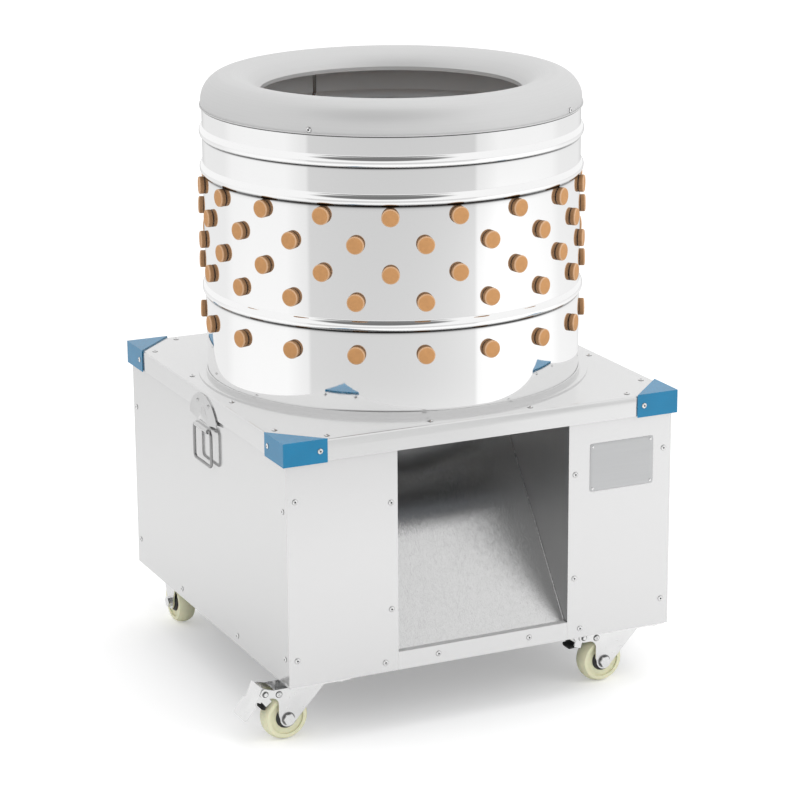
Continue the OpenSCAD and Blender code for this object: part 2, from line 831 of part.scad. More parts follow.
module lower_bearing() {
    color("dimgray") translate([0, 0, z_mid + tube]) flange_bearing();
}

// Rotor
function ring_turn(ring, i) = (i + (ring == 1 ? 0.5 : 0)) * 360 / ring_counts[ring];

module ring_places() {
    for (ring = [0:len(ring_radii) - 1])
        for (i = [0:ring_counts[ring] - 1])
            rotate([0, 0, ring_turn(ring, i)]) translate([ring_radii[ring], 0, plate_z]) children();
}

module rotor_plate() {
    vane_h = plate_gap - vane_gap;
    vane_in = shaft_collar_r + 4;
    color("silver") difference() {
        union() {
            translate([0, 0, plate_z]) cylinder(r = plate_r, h = plate_sheet);
            for (i = [0:vane_count - 1])
                rotate([0, 0, 45 + i * 360 / vane_count])
                    translate([vane_in, -vane_sheet / 2, plate_z - vane_h])
                        cube([plate_r - vane_in - 2 * vane_sheet, vane_sheet, vane_h + plate_sheet / 2]);
        }
        translate([0, 0, plate_z - cut]) cylinder(r = shaft_r + run_gap, h = plate_sheet + 2 * cut);
        ring_places() translate([0, 0, -cut]) cylinder(r = finger_hole_r, h = plate_sheet + 2 * cut);
    }
}

module rotor_fingers() {
    color("peru") ring_places() mirror([0, 0, 1]) finger(plate_sheet, seat_gap);
}

module rotor_hub() {
    color("silver") translate([0, 0, plate_top]) difference() {
        rotate_extrude() {
            square([hub_r, hub_flange]);
            intersection() {
                square([hub_cap_r, hub_flange + hub_cap_h]);
                translate([0, hub_flange + hub_cap_h - 2 * hub_cap_r]) circle(2 * hub_cap_r);
            }
        }
        translate([0, 0, -cut]) cylinder(r = shaft_r + run_gap, h = shaft_top - plate_top + seat_gap + cut);
    }
}

module main_shaft() {
    color("darkgray") {
        translate([0, 0, shaft_bottom]) cylinder(r = shaft_r, h = shaft_top - shaft_bottom);
        translate([0, 0, plate_z - shaft_collar_h]) cylinder(r = shaft_collar_r, h = shaft_collar_h);
    }
}

// A grooved pulley about the Z axis, its middle at z = 0
module pulley(r, groove, bore, holes) {
    web = pulley_w / 3;
    hub = bore * 2.2;
    difference() {
        union() {
            rotate_extrude() {
                difference() {
                    translate([groove - belt_t, -pulley_w / 2]) square([r - groove + belt_t, pulley_w]);
                    translate([groove, 0])
                        polygon([
                            [0, -belt_w / 2 - move_gap], [r, -belt_w / 2 - move_gap],
                            [r, belt_w / 2 + move_gap], [0, belt_w / 2 + move_gap]
                        ]);
                }
                translate([0, -web / 2]) square([groove, web]);
                translate([0, -pulley_w / 2]) square([min(hub, groove), pulley_w]);
            }
        }
        translate([0, 0, -pulley_w]) cylinder(r = bore + run_gap, h = 2 * pulley_w);
        if (holes > 0)
            for (i = [0:holes - 1])
                rotate([0, 0, i * 360 / holes])
                    translate([(groove - belt_t + hub) / 2, 0, -pulley_w])
                        cylinder(r = (groove - belt_t - hub) / 3, h = 2 * pulley_w);
    }
}

module driven_pulley() {
    color("gray") translate([0, 0, belt_z]) pulley(driven_r, groove_r, shaft_r, 6);
}

module drive_pulley() {
    color("gray") translate([0, motor_y, belt_z]) pulley(drive_r, drive_groove_r, motor_shaft_r, 0);
}

// Belt: two arcs and their common tangents, a gap outside the pulley grooves
module belt_outline(r0, r1) {
    lean = asin((r0 - r1) / motor_y);
    circle(r0);
    translate([0, motor_y]) circle(r1);
    polygon([
        r0 * [cos(lean), sin(lean)], [0, motor_y] + r1 * [cos(lean), sin(lean)],
        [0, motor_y] + r1 * [-cos(lean), sin(lean)], r0 * [-cos(lean), sin(lean)]
    ]);
}

module belt() {
    color("black") translate([0, 0, belt_z - belt_w / 2]) linear_extrude(belt_w) difference() {
        belt_outline(groove_r + move_gap + belt_t, drive_groove_r + move_gap + belt_t);
        belt_outline(groove_r + move_gap, drive_groove_r + move_gap);
    }
}

module motor() {
    shaft_in = 20;
    box_w = 72;
    box_h = 70;
    box_out = 40;
    color("slategray") translate([0, motor_y, motor_base]) difference() {
        union() {
            cylinder(r = motor_flange_r, h = flange_h);
            translate([0, 0, flange_h - cut]) linear_extrude(motor_h + 2 * cut) {
                circle(motor_r);
                for (i = [0:motor_ribs - 1])
                    rotate(i * 360 / motor_ribs) translate([motor_r - cut, -motor_rib_w / 2])
                        square([motor_rib_out + cut, motor_rib_w]);
            }
            translate([0, 0, flange_h + motor_h])
                cylinder(r = motor_r + motor_rib_out + 2 * cut, h = motor_cap_h);
            translate([motor_r - 4 * cut, -box_w / 2, flange_h + 30]) cube([box_out, box_w, box_h]);
        }
        translate([0, 0, -cut]) cylinder(r = motor_shaft_r + run_gap, h = shaft_in + cut);
    }
}

module motor_mount() {
    color("slategray") translate([0, motor_y, z_mid + tube]) difference() {
        translate([-motor_plate_w / 2, -motor_plate_w / 2, 0])
            cube([motor_plate_w, motor_plate_w, motor_plate_t]);
        translate([0, 0, -cut]) cylinder(r = motor_shaft_r + 20, h = motor_plate_t + 2 * cut);
    }
}

module motor_shaft() {
    end = 18;
    color("darkgray") translate([0, motor_y, shaft_bottom])
        cylinder(r = motor_shaft_r, h = motor_base + end - shaft_bottom);
}

// Bail handles, drawn on the left side and mirrored for the right
module handed(side) {
    if (side < 0) children();
    else mirror([1, 0, 0]) children();
}

module handle_plate(side) {
    arch_r = handle_w * 0.575;
    shoulder_low = handle_z - handle_w * 0.38;
    neck_top = bail_z + 2 * knuckle_r;
    color("silver") handed(side) translate([0, -handle_shift, 0]) difference() {
        union() {
            translate([-skirt_face - handle_sheet, 0, 0]) across(handle_sheet) {
                intersection() {
                    translate([0, handle_z - arch_r]) circle(arch_r);
                    translate([-handle_w / 2, shoulder_low]) square([handle_w, handle_w]);
                }
                polygon([
                    [-handle_w / 2, shoulder_low + cut], [handle_w / 2, shoulder_low + cut],
                    [knuckle_w / 2, neck_top], [knuckle_w / 2, bail_z],
                    [-knuckle_w / 2, bail_z], [-knuckle_w / 2, neck_top]
                ]);
            }
            translate([-bail_x, 0, bail_z]) rotate([90, 0, 0])
                cylinder(r = knuckle_r, h = knuckle_w, center = true);
            for (s = sides)
                translate([-skirt_face - handle_sheet, s * rivet_at, rivet_z]) rotate([0, -90, 0])
                    cylinder(r1 = rivet_r, r2 = rivet_r * 0.7, h = rivet_h);
        }
        translate([-bail_x, 0, bail_z]) rotate([90, 0, 0])
            cylinder(r = wire_r + run_gap, h = knuckle_w + 2 * cut, center = true);
    }
}

module bail(side) {
    color("silver") handed(side) translate([-bail_x, -handle_shift, bail_z]) {
        x = bail_w / 2;
        b = bail_bend;
        for (z = [0, -bail_h])
            translate([0, -x + b, z]) rotate([-90, 0, 0]) cylinder(r = wire_r, h = bail_w - 2 * b);
        for (s = sides)
            translate([0, s * x, -bail_h + b]) cylinder(r = wire_r, h = bail_h - 2 * b);
        for (sy = sides) for (sz = sides)
            translate([0, sy * (x - b), sz * (bail_h / 2 - b) - bail_h / 2])
                rotate([sy * sz > 0 ? (sz > 0 ? 0 : 180) : (sz > 0 ? 90 : -90), 0, 0])
                    rotate([90, 0, 90]) rotate_extrude(angle = 90) translate([b, 0]) circle(wire_r);
    }
}

// Castors, drawn with the kingpin on the Z axis and the wheel trailing towards -X
module at_castor(sx, sy) translate([sx * castor_at, sy * castor_at, 0]) children();

// Turns a drawing of [x, z] points into a sheet that is thick along Y
module upright(thick) rotate([90, 0, 0]) linear_extrude(thick, center = true) children();

// Bolt heads under a castor plate
module plate_bolts() {
    at = castor_plate_w / 2 - plate_bolt_in;
    for (x = sides) for (y = sides)
        translate([x * at, y * at, castor_h - castor_plate_t - plate_bolt_h])
            cylinder(r = plate_bolt_r, h = plate_bolt_h + cut, $fn = 6);
}

module castor_plate(sx) {
    color("lightgray") at_castor(sx, -1) {
        plate_bolts();
        translate([-castor_plate_w / 2, -castor_plate_w / 2, castor_h - castor_plate_t])
            cube([castor_plate_w, castor_plate_w, castor_plate_t]);
        translate([0, 0, race_z]) cylinder(r = race_r, h = castor_h - castor_plate_t - race_z);
        translate([0, 0, crown_under - move_gap - 3]) cylinder(r = kingpin_r, h = race_z - crown_under + 4);
        translate([0, 0, crown_under - move_gap - 3]) cylinder(r = kingpin_r + 4, h = 3);
    }
}

// Outline of a fork cheek: crown edge, boss round the axle and an arm to the pedal's pivot
module cheek_outline() {
    arm_back = -castor_trail - 24;
    inner = -castor_trail - axle_boss_r - 2;
    hollow_r = 12;
    difference() {
        union() {
            translate(axle_point) circle(axle_boss_r);
            translate(pedal_pivot) circle(pedal_boss_r);
            polygon([
                [fork_nose, crown_z], [arm_back, crown_z], [-pedal_back, pedal_pivot_z + pedal_boss_r],
                [-pedal_back, pedal_pivot_z - pedal_boss_r], [arm_back, pedal_pivot_z - pedal_boss_r],
                [-castor_trail - axle_boss_r, axle_z],
                [-castor_trail + axle_boss_r * 0.86, axle_z - axle_boss_r / 2],
                [fork_nose, crown_under - 1]
            ]);
        }
        translate([inner - hollow_r, pedal_pivot_z - pedal_boss_r - hollow_r]) circle(hollow_r);
        translate([inner - 3 * hollow_r, axle_z - 2 * axle_boss_r])
            square([3 * hollow_r, pedal_pivot_z - pedal_boss_r - hollow_r - axle_z + 2 * axle_boss_r]);
    }
}

module fork(sx) {
    color("lightgray") at_castor(sx, -1) difference() {
        union() {
            for (s = sides)
                translate([0, s * (fork_in + fork_sheet / 2), 0]) upright(fork_sheet) cheek_outline();
            translate([-castor_trail - 20, -fork_out, crown_under])
                cube([castor_trail + 20 + fork_nose, 2 * fork_out, fork_sheet]);
        }
        translate([0, 0, crown_under - cut]) cylinder(r = kingpin_r + run_gap, h = fork_sheet + 2 * cut);
        translate([axle_point[0], 0, axle_point[1]]) rotate([90, 0, 0])
            cylinder(r = axle_r + run_gap, h = 2 * fork_out + 2 * cut, center = true);
        translate([pedal_pivot[0], 0, pedal_pivot[1]]) rotate([90, 0, 0])
            cylinder(r = pedal_pin_r + run_gap, h = 2 * fork_out + 2 * cut, center = true);
    }
}

// An axle bolt along Y with its head towards -Y
module axle_bolt() {
    grip = fork_out + seat_gap;
    rotate([90, 0, 0]) {
        cylinder(r = axle_r, h = 2 * grip + axle_head_h, center = true);
        translate([0, 0, grip]) cylinder(r = axle_head_r, h = axle_head_h, $fn = 6);
        translate([0, 0, -grip - axle_head_h]) cylinder(r = axle_head_r, h = axle_head_h, $fn = 6);
    }
}

module front_axle(sx) {
    color("gainsboro") at_castor(sx, -1) translate([-castor_trail, 0, axle_z]) axle_bolt();
}

// A nylon wheel with a crowned tread and a recessed web, about the Y axis
module wheel() {
    rotate([90, 0, 0]) rotate_extrude() {
        intersection() {
            translate([wheel_rim_r, -wheel_w / 2]) square([wheel_r - wheel_rim_r, wheel_w]);
            translate([wheel_r - tread_crown, 0]) circle(tread_crown);
        }
        translate([axle_r + run_gap, -wheel_web / 2]) square([wheel_rim_r - axle_r, wheel_web]);
        translate([axle_r + run_gap, -wheel_hub_w / 2]) square([wheel_hub_r - axle_r, wheel_hub_w]);
    }
}

module front_wheel(sx) {
    color("palegoldenrod") at_castor(sx, -1) translate([-castor_trail, 0, axle_z]) wheel();
}

// Brake: a broad pedal on two lugs with its pivot pin, and a block that bears on the tread
module brake_place(sx, lift) {
    at_castor(sx, -1) translate([pedal_pivot[0], 0, pedal_pivot[1]]) rotate([0, lift, 0]) children();
}

// Side view of a pedal lug: boss on the pin, arm under the pedal and arm to the block
module lug_outline() {
    circle(pedal_boss_r - 1);
    rotate(pedal_slope) translate([-pedal_boss_r - pedal_up, 0])
        square([pedal_boss_r + 2 * pedal_up - 1, pedal_stand + pedal_sheet / 2]);
    rotate(block_angle) translate([-lug_reach, 0]) square([lug_reach, lug_wide]);
}

// The pedal's foot, drawn flat from its bend towards -X
module foot_outline() {
    half = pedal_w / 2 - foot_corner;
    translate([-foot_len + foot_corner, -pedal_w / 2]) square([foot_len - foot_corner, pedal_w]);
    translate([-foot_len, -half]) square([foot_len, 2 * half]);
    for (s = sides) translate([-foot_len + foot_corner, s * half]) circle(foot_corner);
}

module pedal(sx, lift) {
    lug_w = fork_in - move_gap - block_w / 2;
    color("gainsboro") brake_place(sx, lift) {
        rotate([0, -pedal_slope, 0]) {
            translate([-tongue_len - cut, -tongue_w / 2, pedal_stand])
                cube([tongue_len + pedal_up + cut, tongue_w, pedal_sheet]);
            translate([-tongue_len, 0, pedal_stand]) rotate([0, foot_flare, 0])
                linear_extrude(pedal_sheet) foot_outline();
        }
        for (s = sides) translate([0, s * (block_w + lug_w) / 2, 0]) upright(lug_w) lug_outline();
        rotate([90, 0, 0]) cylinder(r = pedal_pin_r, h = 2 * fork_out + pin_out, center = true);
    }
}

module brake_block(sx, lift) {
    color("black") brake_place(sx, lift)
        translate([axle_point[0] - pedal_pivot[0], 0, axle_point[1] - pedal_pivot[1]]) difference() {
            rotate([0, -block_angle, 0])
                translate([block_low, -block_w / 2, 0])
                    cube([block_face + block_t - block_low, block_w, block_len]);
            rotate([90, 0, 0]) cylinder(r = block_face, h = 2 * block_w, center = true);
        }
}

// Rear castors: rigid brackets with the axle along X
module rear_bracket_outline() {
    top = castor_h - castor_plate_t;
    half = 34;
    translate([0, axle_z]) circle(axle_boss_r);
    polygon([
        [-half, top], [half, top], [axle_boss_r * 0.97, axle_z + 3], [-axle_boss_r * 0.97, axle_z + 3]
    ]);
}

module rear_brackets() {
    color("lightgray") for (sx = sides) at_castor(sx, 1) difference() {
        union() {
            plate_bolts();
            translate([-castor_plate_w / 2, -castor_plate_w / 2, castor_h - castor_plate_t])
                cube([castor_plate_w, castor_plate_w, castor_plate_t]);
            for (s = sides)
                translate([s * (fork_in + fork_sheet / 2) - fork_sheet / 2, 0, 0])
                    across(fork_sheet) rear_bracket_outline();
        }
        translate([0, 0, axle_z]) rotate([0, 90, 0])
            cylinder(r = axle_r + run_gap, h = 2 * fork_out + 2 * cut, center = true);
    }
}

module rear_axles() {
    color("gainsboro") for (sx = sides)
        at_castor(sx, 1) translate([0, 0, axle_z]) rotate([0, 0, sx * 90]) axle_bolt();
}

module rear_wheel(sx) {
    color("palegoldenrod") at_castor(sx, 1) translate([0, 0, axle_z]) rotate([0, 0, 90]) wheel();
}

// Switch box on the right side
module button_place(side) {
    translate([panel_plane + switch_d, switch_y, switch_z + side * button_pitch / 2])
        rotate([0, 90, 0]) children();
}

module switch_box() {
    hollow_w = switch_w - 2 * switch_wall;
    hollow_h = switch_h - 2 * switch_wall;
    color("gray") difference() {
        translate([panel_plane, switch_y - switch_w / 2, switch_z - switch_h / 2])
            cube([switch_d, switch_w, switch_h]);
        translate([panel_plane - cut, switch_y - hollow_w / 2, switch_z - hollow_h / 2])
            cube([switch_d - switch_wall + cut, hollow_w, hollow_h]);
        for (s = sides) button_place(s) translate([0, 0, -switch_wall - cut])
            cylinder(r = button_r - 3 + run_gap, h = switch_wall + 2 * cut);
        gland_place() cylinder(r = gland_thread_r + run_gap, h = 4 * switch_wall, center = true);
    }
}

module gland_place() translate([panel_plane + switch_d / 2, switch_y, switch_z - switch_h / 2]) children();

module push_button(side) {
    stem = 18;
    button_place(side) {
        translate([0, 0, -stem]) cylinder(r = button_r - 3, h = stem + button_out - 4);
        translate([0, 0, button_travel + move_gap])
            cylinder(r = button_r, h = button_out - button_travel - move_gap);
    }
}

module start_button() color("green") push_button(1);

module stop_button() color("red") push_button(-1);

module cable_gland() {
    color("dimgray") gland_place() difference() {
        union() {
            translate([0, 0, -4 * seat_gap - gland_nut_h])
                cylinder(r = gland_nut_r, h = gland_nut_h, $fn = 6);
            translate([0, 0, -gland_len]) cylinder(r = gland_r, h = gland_len - gland_nut_h);
            translate([0, 0, -gland_len / 2])
                cylinder(r = gland_thread_r, h = gland_len / 2 + 2 * switch_wall);
        }
        translate([0, 0, -gland_len - cut]) cylinder(r = gland_bore_r, h = 2 * gland_len);
    }
}

module panel_screws() {
    color("silver") {
        for (place = front_places) on_front(place) screw(panel_sheet);
        for (place = sill_places) on_front(place) screw(panel_sheet);
        for (place = side_places) {
            on_back(place) screw(panel_sheet);
            on_left(place) screw(panel_sheet);
            on_right(place) screw(panel_sheet);
        }
    }
}

module table_screws() {
    color("silver") {
        table_screw_places() screw(table_sheet);
        cap_screw_places() screw(cap_wall + table_sheet);
    }
}

module rim_screws() {
    color("silver") for (i = [0:3]) on_rim(i) screw(2 * drum_sheet);
}

drum();
drum_rim();
base_ring();
finger_row(0);  // finger_row_1
finger_row(1);  // finger_row_2
finger_row(2);  // finger_row_3
finger_row(3);  // finger_row_4
finger_row(4);  // finger_row_5
table_top();
corner_caps();
side_panel(-1);  // left_panel
side_panel(1);  // right_panel
back_panel();
front_panel(-1);  // front_left_panel
front_panel(1);  // front_right_panel
sill();
chute_floor();
chute_wall(-1);  // chute_wall_left
chute_wall(1);  // chute_wall_right
frame_tubes();
cross_beams();
handle_plate(-1);  // left_handle_plate
bail(-1);  // left_bail
handle_plate(1);  // right_handle_plate
bail(1);  // right_bail
castor_plate(-1);  // front_left_castor_plate
fork(-1);  // front_left_fork
front_axle(-1);  // front_left_axle
front_wheel(-1);  // front_left_wheel
pedal(-1, 0);  // front_left_pedal
brake_block(-1, 0);  // front_left_brake_block
castor_plate(1);  // front_right_castor_plate
fork(1);  // front_right_fork
front_axle(1);  // front_right_axle
front_wheel(1);  // front_right_wheel
pedal(1, pedal_lift);  // front_right_pedal
brake_block(1, pedal_lift);  // front_right_brake_block
rear_brackets();
rear_axles();
rear_wheel(-1);  // rear_left_wheel
rear_wheel(1);  // rear_right_wheel
rotor_plate();
rotor_fingers();
rotor_hub();
main_shaft();
driven_pulley();
upper_bearing();
lower_bearing();
motor();
motor_mount();
motor_shaft();
drive_pulley();
belt();
switch_box();
start_button();
stop_button();
cable_gland();
panel_screws();
table_screws();
rim_screws();
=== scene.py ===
# %% [markdown]
# # A drum poultry plucker
# A polished steel tub stands on a square steel cabinet. A bird goes in at the top, rubber
# fingers rub the feathers off, and water carries the feathers out through the chute in front.
# The CAD model gives every true shape and joint. This lesson adds what CAD leaves out: smooth
# shading, finishes, pressed and stamped details, a floor, light and a camera.

# %% Load the CAD frame
import json
import math

import bmesh
import bpy
import numpy as np
from mathutils import Matrix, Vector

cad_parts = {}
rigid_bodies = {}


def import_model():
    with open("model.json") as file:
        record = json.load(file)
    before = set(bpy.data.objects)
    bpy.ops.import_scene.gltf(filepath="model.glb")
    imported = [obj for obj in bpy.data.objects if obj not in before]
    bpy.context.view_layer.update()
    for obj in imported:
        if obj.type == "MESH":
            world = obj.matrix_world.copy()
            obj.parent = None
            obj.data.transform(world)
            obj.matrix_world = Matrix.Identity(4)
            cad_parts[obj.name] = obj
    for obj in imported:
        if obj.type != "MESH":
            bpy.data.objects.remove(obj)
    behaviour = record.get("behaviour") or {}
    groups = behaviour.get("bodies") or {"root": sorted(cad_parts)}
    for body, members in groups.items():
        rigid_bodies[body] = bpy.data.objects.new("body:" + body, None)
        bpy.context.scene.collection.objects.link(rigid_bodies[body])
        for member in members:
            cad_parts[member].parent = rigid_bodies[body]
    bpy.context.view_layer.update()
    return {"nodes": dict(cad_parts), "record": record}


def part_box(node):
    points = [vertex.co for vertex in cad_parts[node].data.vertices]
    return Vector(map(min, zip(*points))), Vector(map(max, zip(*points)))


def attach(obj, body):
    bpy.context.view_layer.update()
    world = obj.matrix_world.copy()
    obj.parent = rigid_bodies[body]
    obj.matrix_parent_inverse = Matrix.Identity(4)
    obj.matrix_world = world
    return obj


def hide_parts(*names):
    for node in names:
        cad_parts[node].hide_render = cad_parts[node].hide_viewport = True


for leftover in list(bpy.data.objects):
    bpy.data.objects.remove(leftover)
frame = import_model()
nodes = frame["nodes"]

# %% [markdown]
# ## Camera
# The photograph was taken from nearly five metres away with a long lens, to the left of the
# front and sixteen degrees above the level. A long lens keeps the upright edges nearly parallel.
# The directions below were fitted to the cabinet's corners and to the round edges of the drum.
# They are the columns of the camera's matrix: its right, its up, and backwards along its view.

# %% Place the camera
camera_data = bpy.data.cameras.new("studio_camera")
camera_data.sensor_width = 36.0
camera_data.lens = 126.46
camera = bpy.data.objects.new("studio_camera", camera_data)
bpy.context.scene.collection.objects.link(camera)
camera_place = (-1.8573, -3.9935, 1.6863)
camera_right = (0.90495, -0.42549, -0.00589)
camera_up = (0.12196, 0.24609, 0.96154)
camera_back = (-0.40767, -0.87086, 0.27459)
camera_turn = Matrix((camera_right, camera_up, camera_back)).transposed().to_4x4()
camera.matrix_world = Matrix.Translation(camera_place) @ camera_turn
bpy.context.scene.camera = camera
bpy.context.scene.view_settings.view_transform = "Standard"
print("camera lens", camera_data.lens, "mm")

# %% [markdown]
# ## Smooth shading for the CAD meshes
# CAD meshes arrive as loose flat triangles, so a round tube would show its facets. Their
# vertices must stay where they are. A geometry-nodes modifier is a safe way out: it welds
# the triangles for shading only, and keeps an edge sharp where its two faces meet steeply.

# %% Build the modifier that softens shallow edges
def soft_edges_group(limit_degrees, weld_distance):
    """Weld points closer than weld_distance, shade all faces smooth, then keep an edge smooth
    only where the angle between its faces is below the limit."""
    group = bpy.data.node_groups.new("soft_edges", "GeometryNodeTree")
    for direction in ("INPUT", "OUTPUT"):
        group.interface.new_socket("Geometry", in_out=direction, socket_type="NodeSocketGeometry")
    make = group.nodes.new
    entry, leave = make("NodeGroupInput"), make("NodeGroupOutput")
    weld = make("GeometryNodeMergeByDistance")
    weld.inputs["Distance"].default_value = weld_distance
    faces, edges = make("GeometryNodeSetShadeSmooth"), make("GeometryNodeSetShadeSmooth")
    edges.domain = "EDGE"
    angle, shallow = make("GeometryNodeInputMeshEdgeAngle"), make("FunctionNodeCompare")
    shallow.operation = "LESS_THAN"
    shallow.inputs[1].default_value = math.radians(limit_degrees)
    chain = [entry, weld, faces, edges, leave]
    for first, second in zip(chain, chain[1:]):
        group.links.new(first.outputs[0], second.inputs[0])
    group.links.new(angle.outputs["Unsigned Angle"], shallow.inputs[0])
    group.links.new(shallow.outputs[0], edges.inputs["Shade Smooth"])
    return group


soft_edges = soft_edges_group(limit_degrees=28.0, weld_distance=2e-6)
for node in nodes.values():
    node.modifiers.new("soft_edges", "NODES").node_group = soft_edges
print("softened", len(nodes), "nodes; custom normals:", nodes["drum"].data.has_custom_normals)

# %% [markdown]
# ## Shader nodes
# Light and finishes are graphs of nodes. Each node has input sockets, which hold a plain value or
# take a link from another node's output. One helper makes a node, sets it up and joins it, so
# every graph below reads from its start to its end.

# %% Make a shader node
def shader_node(tree, kind, inputs=None, **settings):
    """A node of one kind with its settings. An input, by name or number, is linked when it is
    given another node's output, and holds a plain value otherwise."""
    node = tree.nodes.new("ShaderNode" + kind)
    for setting, value in settings.items():
        setattr(node, setting, value)
    for entry, value in (inputs or {}).items():
        if isinstance(value, bpy.types.NodeSocket):
            tree.links.new(value, node.inputs[entry])
        else:
            node.inputs[entry].default_value = value
    return node


print("node helper ready")

# %% [markdown]
# ## Floor, sky and lamps
# The machine was shot on a white sweep. The sky here is plain white to the camera, to mirrors and
# as a source of light, and two soft lamps give the forms a little shape. A studio is dark behind
# the camera, and polished steel shows that: a dark patch of sky draws the grey upper half of
# each bead on the drum.

# %% Light the studio
def studio_world(light_level, dark_way, dark_level, patch_edges):
    """Sky colour by direction: one minus a soft round patch about dark_way, seen by reflections
    only; the camera sees white, and surfaces are lit at light_level. The patch begins and is
    full where the cosine of the angle from dark_way has the two values of patch_edges."""
    world = bpy.data.worlds.new("studio")
    bpy.context.scene.world = world
    world.use_nodes = True
    tree = world.node_tree
    sky = tree.nodes["Background"]
    sky.inputs["Color"].default_value = (1.0, 1.0, 1.0, 1.0)
    path = shader_node(tree, "LightPath").outputs
    way = shader_node(tree, "TexCoord").outputs["Generated"]
    dark_unit = np.array(dark_way) / np.linalg.norm(dark_way)
    facing = shader_node(tree, "VectorMath", {0: way, 1: dark_unit}, operation="DOT_PRODUCT")
    begins, full = patch_edges
    patch = shader_node(
        tree, "MapRange",
        {"Value": facing.outputs["Value"], 1: begins, 2: full, 3: 1.0, 4: dark_level},
        interpolation_type="SMOOTHSTEP",
    )
    glossy = shader_node(
        tree, "Mix",
        {"Factor": path["Is Glossy Ray"], "A": light_level, "B": patch.outputs["Result"]},
    )
    clear = shader_node(
        tree, "Math", {0: path["Is Camera Ray"], 1: path["Is Transmission Ray"]},
        operation="MAXIMUM",
    )
    seen = shader_node(
        tree, "Mix", {"Factor": clear.outputs["Value"], "A": glossy.outputs["Result"], "B": 1.0}
    )
    tree.links.new(seen.outputs["Result"], sky.inputs["Strength"])


studio_world(
    light_level=1.0, dark_way=(-0.31, -0.48, 0.82), dark_level=0.2, patch_edges=(0.8, 0.91)
)


def softbox(name, place, aim, width, watts):
    """A square area lamp that looks from its place towards the aim point."""
    data = bpy.data.lights.new(name, "AREA")
    data.size = width
    data.energy = watts
    lamp = bpy.data.objects.new(name, data)
    bpy.context.scene.collection.objects.link(lamp)
    lamp.location = place
    away = lamp.location - Matrix.Translation(aim).translation
    lamp.rotation_euler = away.to_track_quat("Z", "Y").to_euler()
    lamp.visible_glossy = False


lamp_aim = (0.0, 0.0, 0.4)
softbox("overhead_box", (0.5, -0.4, 3.4), lamp_aim, width=2.6, watts=22.0)
softbox("right_box", (2.2, -2.8, 2.2), lamp_aim, width=1.8, watts=18.0)
print("lamps:", [lamp.name for lamp in bpy.data.lights])

# %% [markdown]
# ## Helpers for new pieces
# Every new piece below is a grid of points worked out at once with numpy. Neighbouring points
# of the grid make four-sided faces, and joining the last row to the first closes a ring.
# The signed volume of a closed shell is negative when its faces point inwards, so it tells
# when the order of the corners has to be turned round.

# %% Number the corners of a grid
def full_turn(steps):
    """Angles of so many equal steps round a circle."""
    return np.linspace(0.0, 2 * math.pi, steps, endpoint=False)


def grid_faces(rows, columns, close_rows=False, close_columns=False):
    """Corner numbers of every cell of a grid, row by row."""
    index = np.arange(rows * columns).reshape(rows, columns)
    if close_rows:
        index = np.vstack([index, index[:1]])
    if close_columns:
        index = np.hstack([index, index[:, :1]])
    corners = (index[:-1, :-1], index[1:, :-1], index[1:, 1:], index[:-1, 1:])
    return np.stack(corners, axis=-1).reshape(-1, 4)


def signed_volume(points, faces):
    """Sum over triangles of the scalar triple product of their corners, divided by six."""
    total = 0.0
    for b, c in ((1, 2), (2, 3)):
        first, second, third = points[faces[:, 0]], points[faces[:, b]], points[faces[:, c]]
        total += np.einsum("ij,ij->i", first, np.cross(second, third)).sum() / 6.0
    return total


print("a closed grid of 3 by 4 points has", len(grid_faces(3, 4, True, True)), "faces")

# %% Turn a grid of points into a piece
def piece_from(name, points, faces):
    """A linked mesh object whose place is in its points; points that meet at a pole are welded."""
    mesh = bpy.data.meshes.new(name)
    mesh.from_pydata(points.reshape(-1, 3).tolist(), [], faces.tolist())
    shape = bmesh.new()
    shape.from_mesh(mesh)
    bmesh.ops.remove_doubles(shape, verts=shape.verts, dist=1e-7)
    shape.to_mesh(mesh)
    shape.free()
    mesh.polygons.foreach_set("use_smooth", np.full(len(mesh.polygons), True))
    mesh.update()
    piece = bpy.data.objects.new(name, mesh)
    bpy.context.scene.collection.objects.link(piece)
    return piece


def outward_piece(name, points, faces):
    """A piece from a closed shell, whose faces are turned round if they point inwards."""
    flat = points.reshape(-1, 3)
    if signed_volume(flat - flat[0], faces) < 0:
        faces = faces[:, ::-1]
    return piece_from(name, flat, faces)


def dress(piece, finish, body):
    """Give a piece its finish and the body it moves with."""
    piece.data.materials.append(finish)
    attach(piece, body)


print("piece helpers ready")

# %% Lay the floor
floor_half, floor_rows, floor_level = 9.0, 7, -0.0004
floor_line = np.linspace(-floor_half, floor_half, floor_rows)
floor_x, floor_y = np.meshgrid(floor_line, floor_line, indexing="ij")
floor_points = np.stack([floor_x, floor_y, np.full_like(floor_x, floor_level)], axis=-1)
floor = piece_from("floor", floor_points, grid_faces(floor_rows, floor_rows))
print("floor", 2 * floor_half, "m wide")

# %% [markdown]
# The floor is matt and nearly white. Seen by the camera it is partly self-lit, which keeps the
# background white and leaves a soft shadow under the machine. In front of the machine lies a
# fan of grey that only reflections see. A round mirror sends its reflections out as if from a
# point half a radius in front of its axis, so a fan about that point gives the drum a grey
# band with upright edges. The fan is grey behind the machine too, which shades the wall's sides.

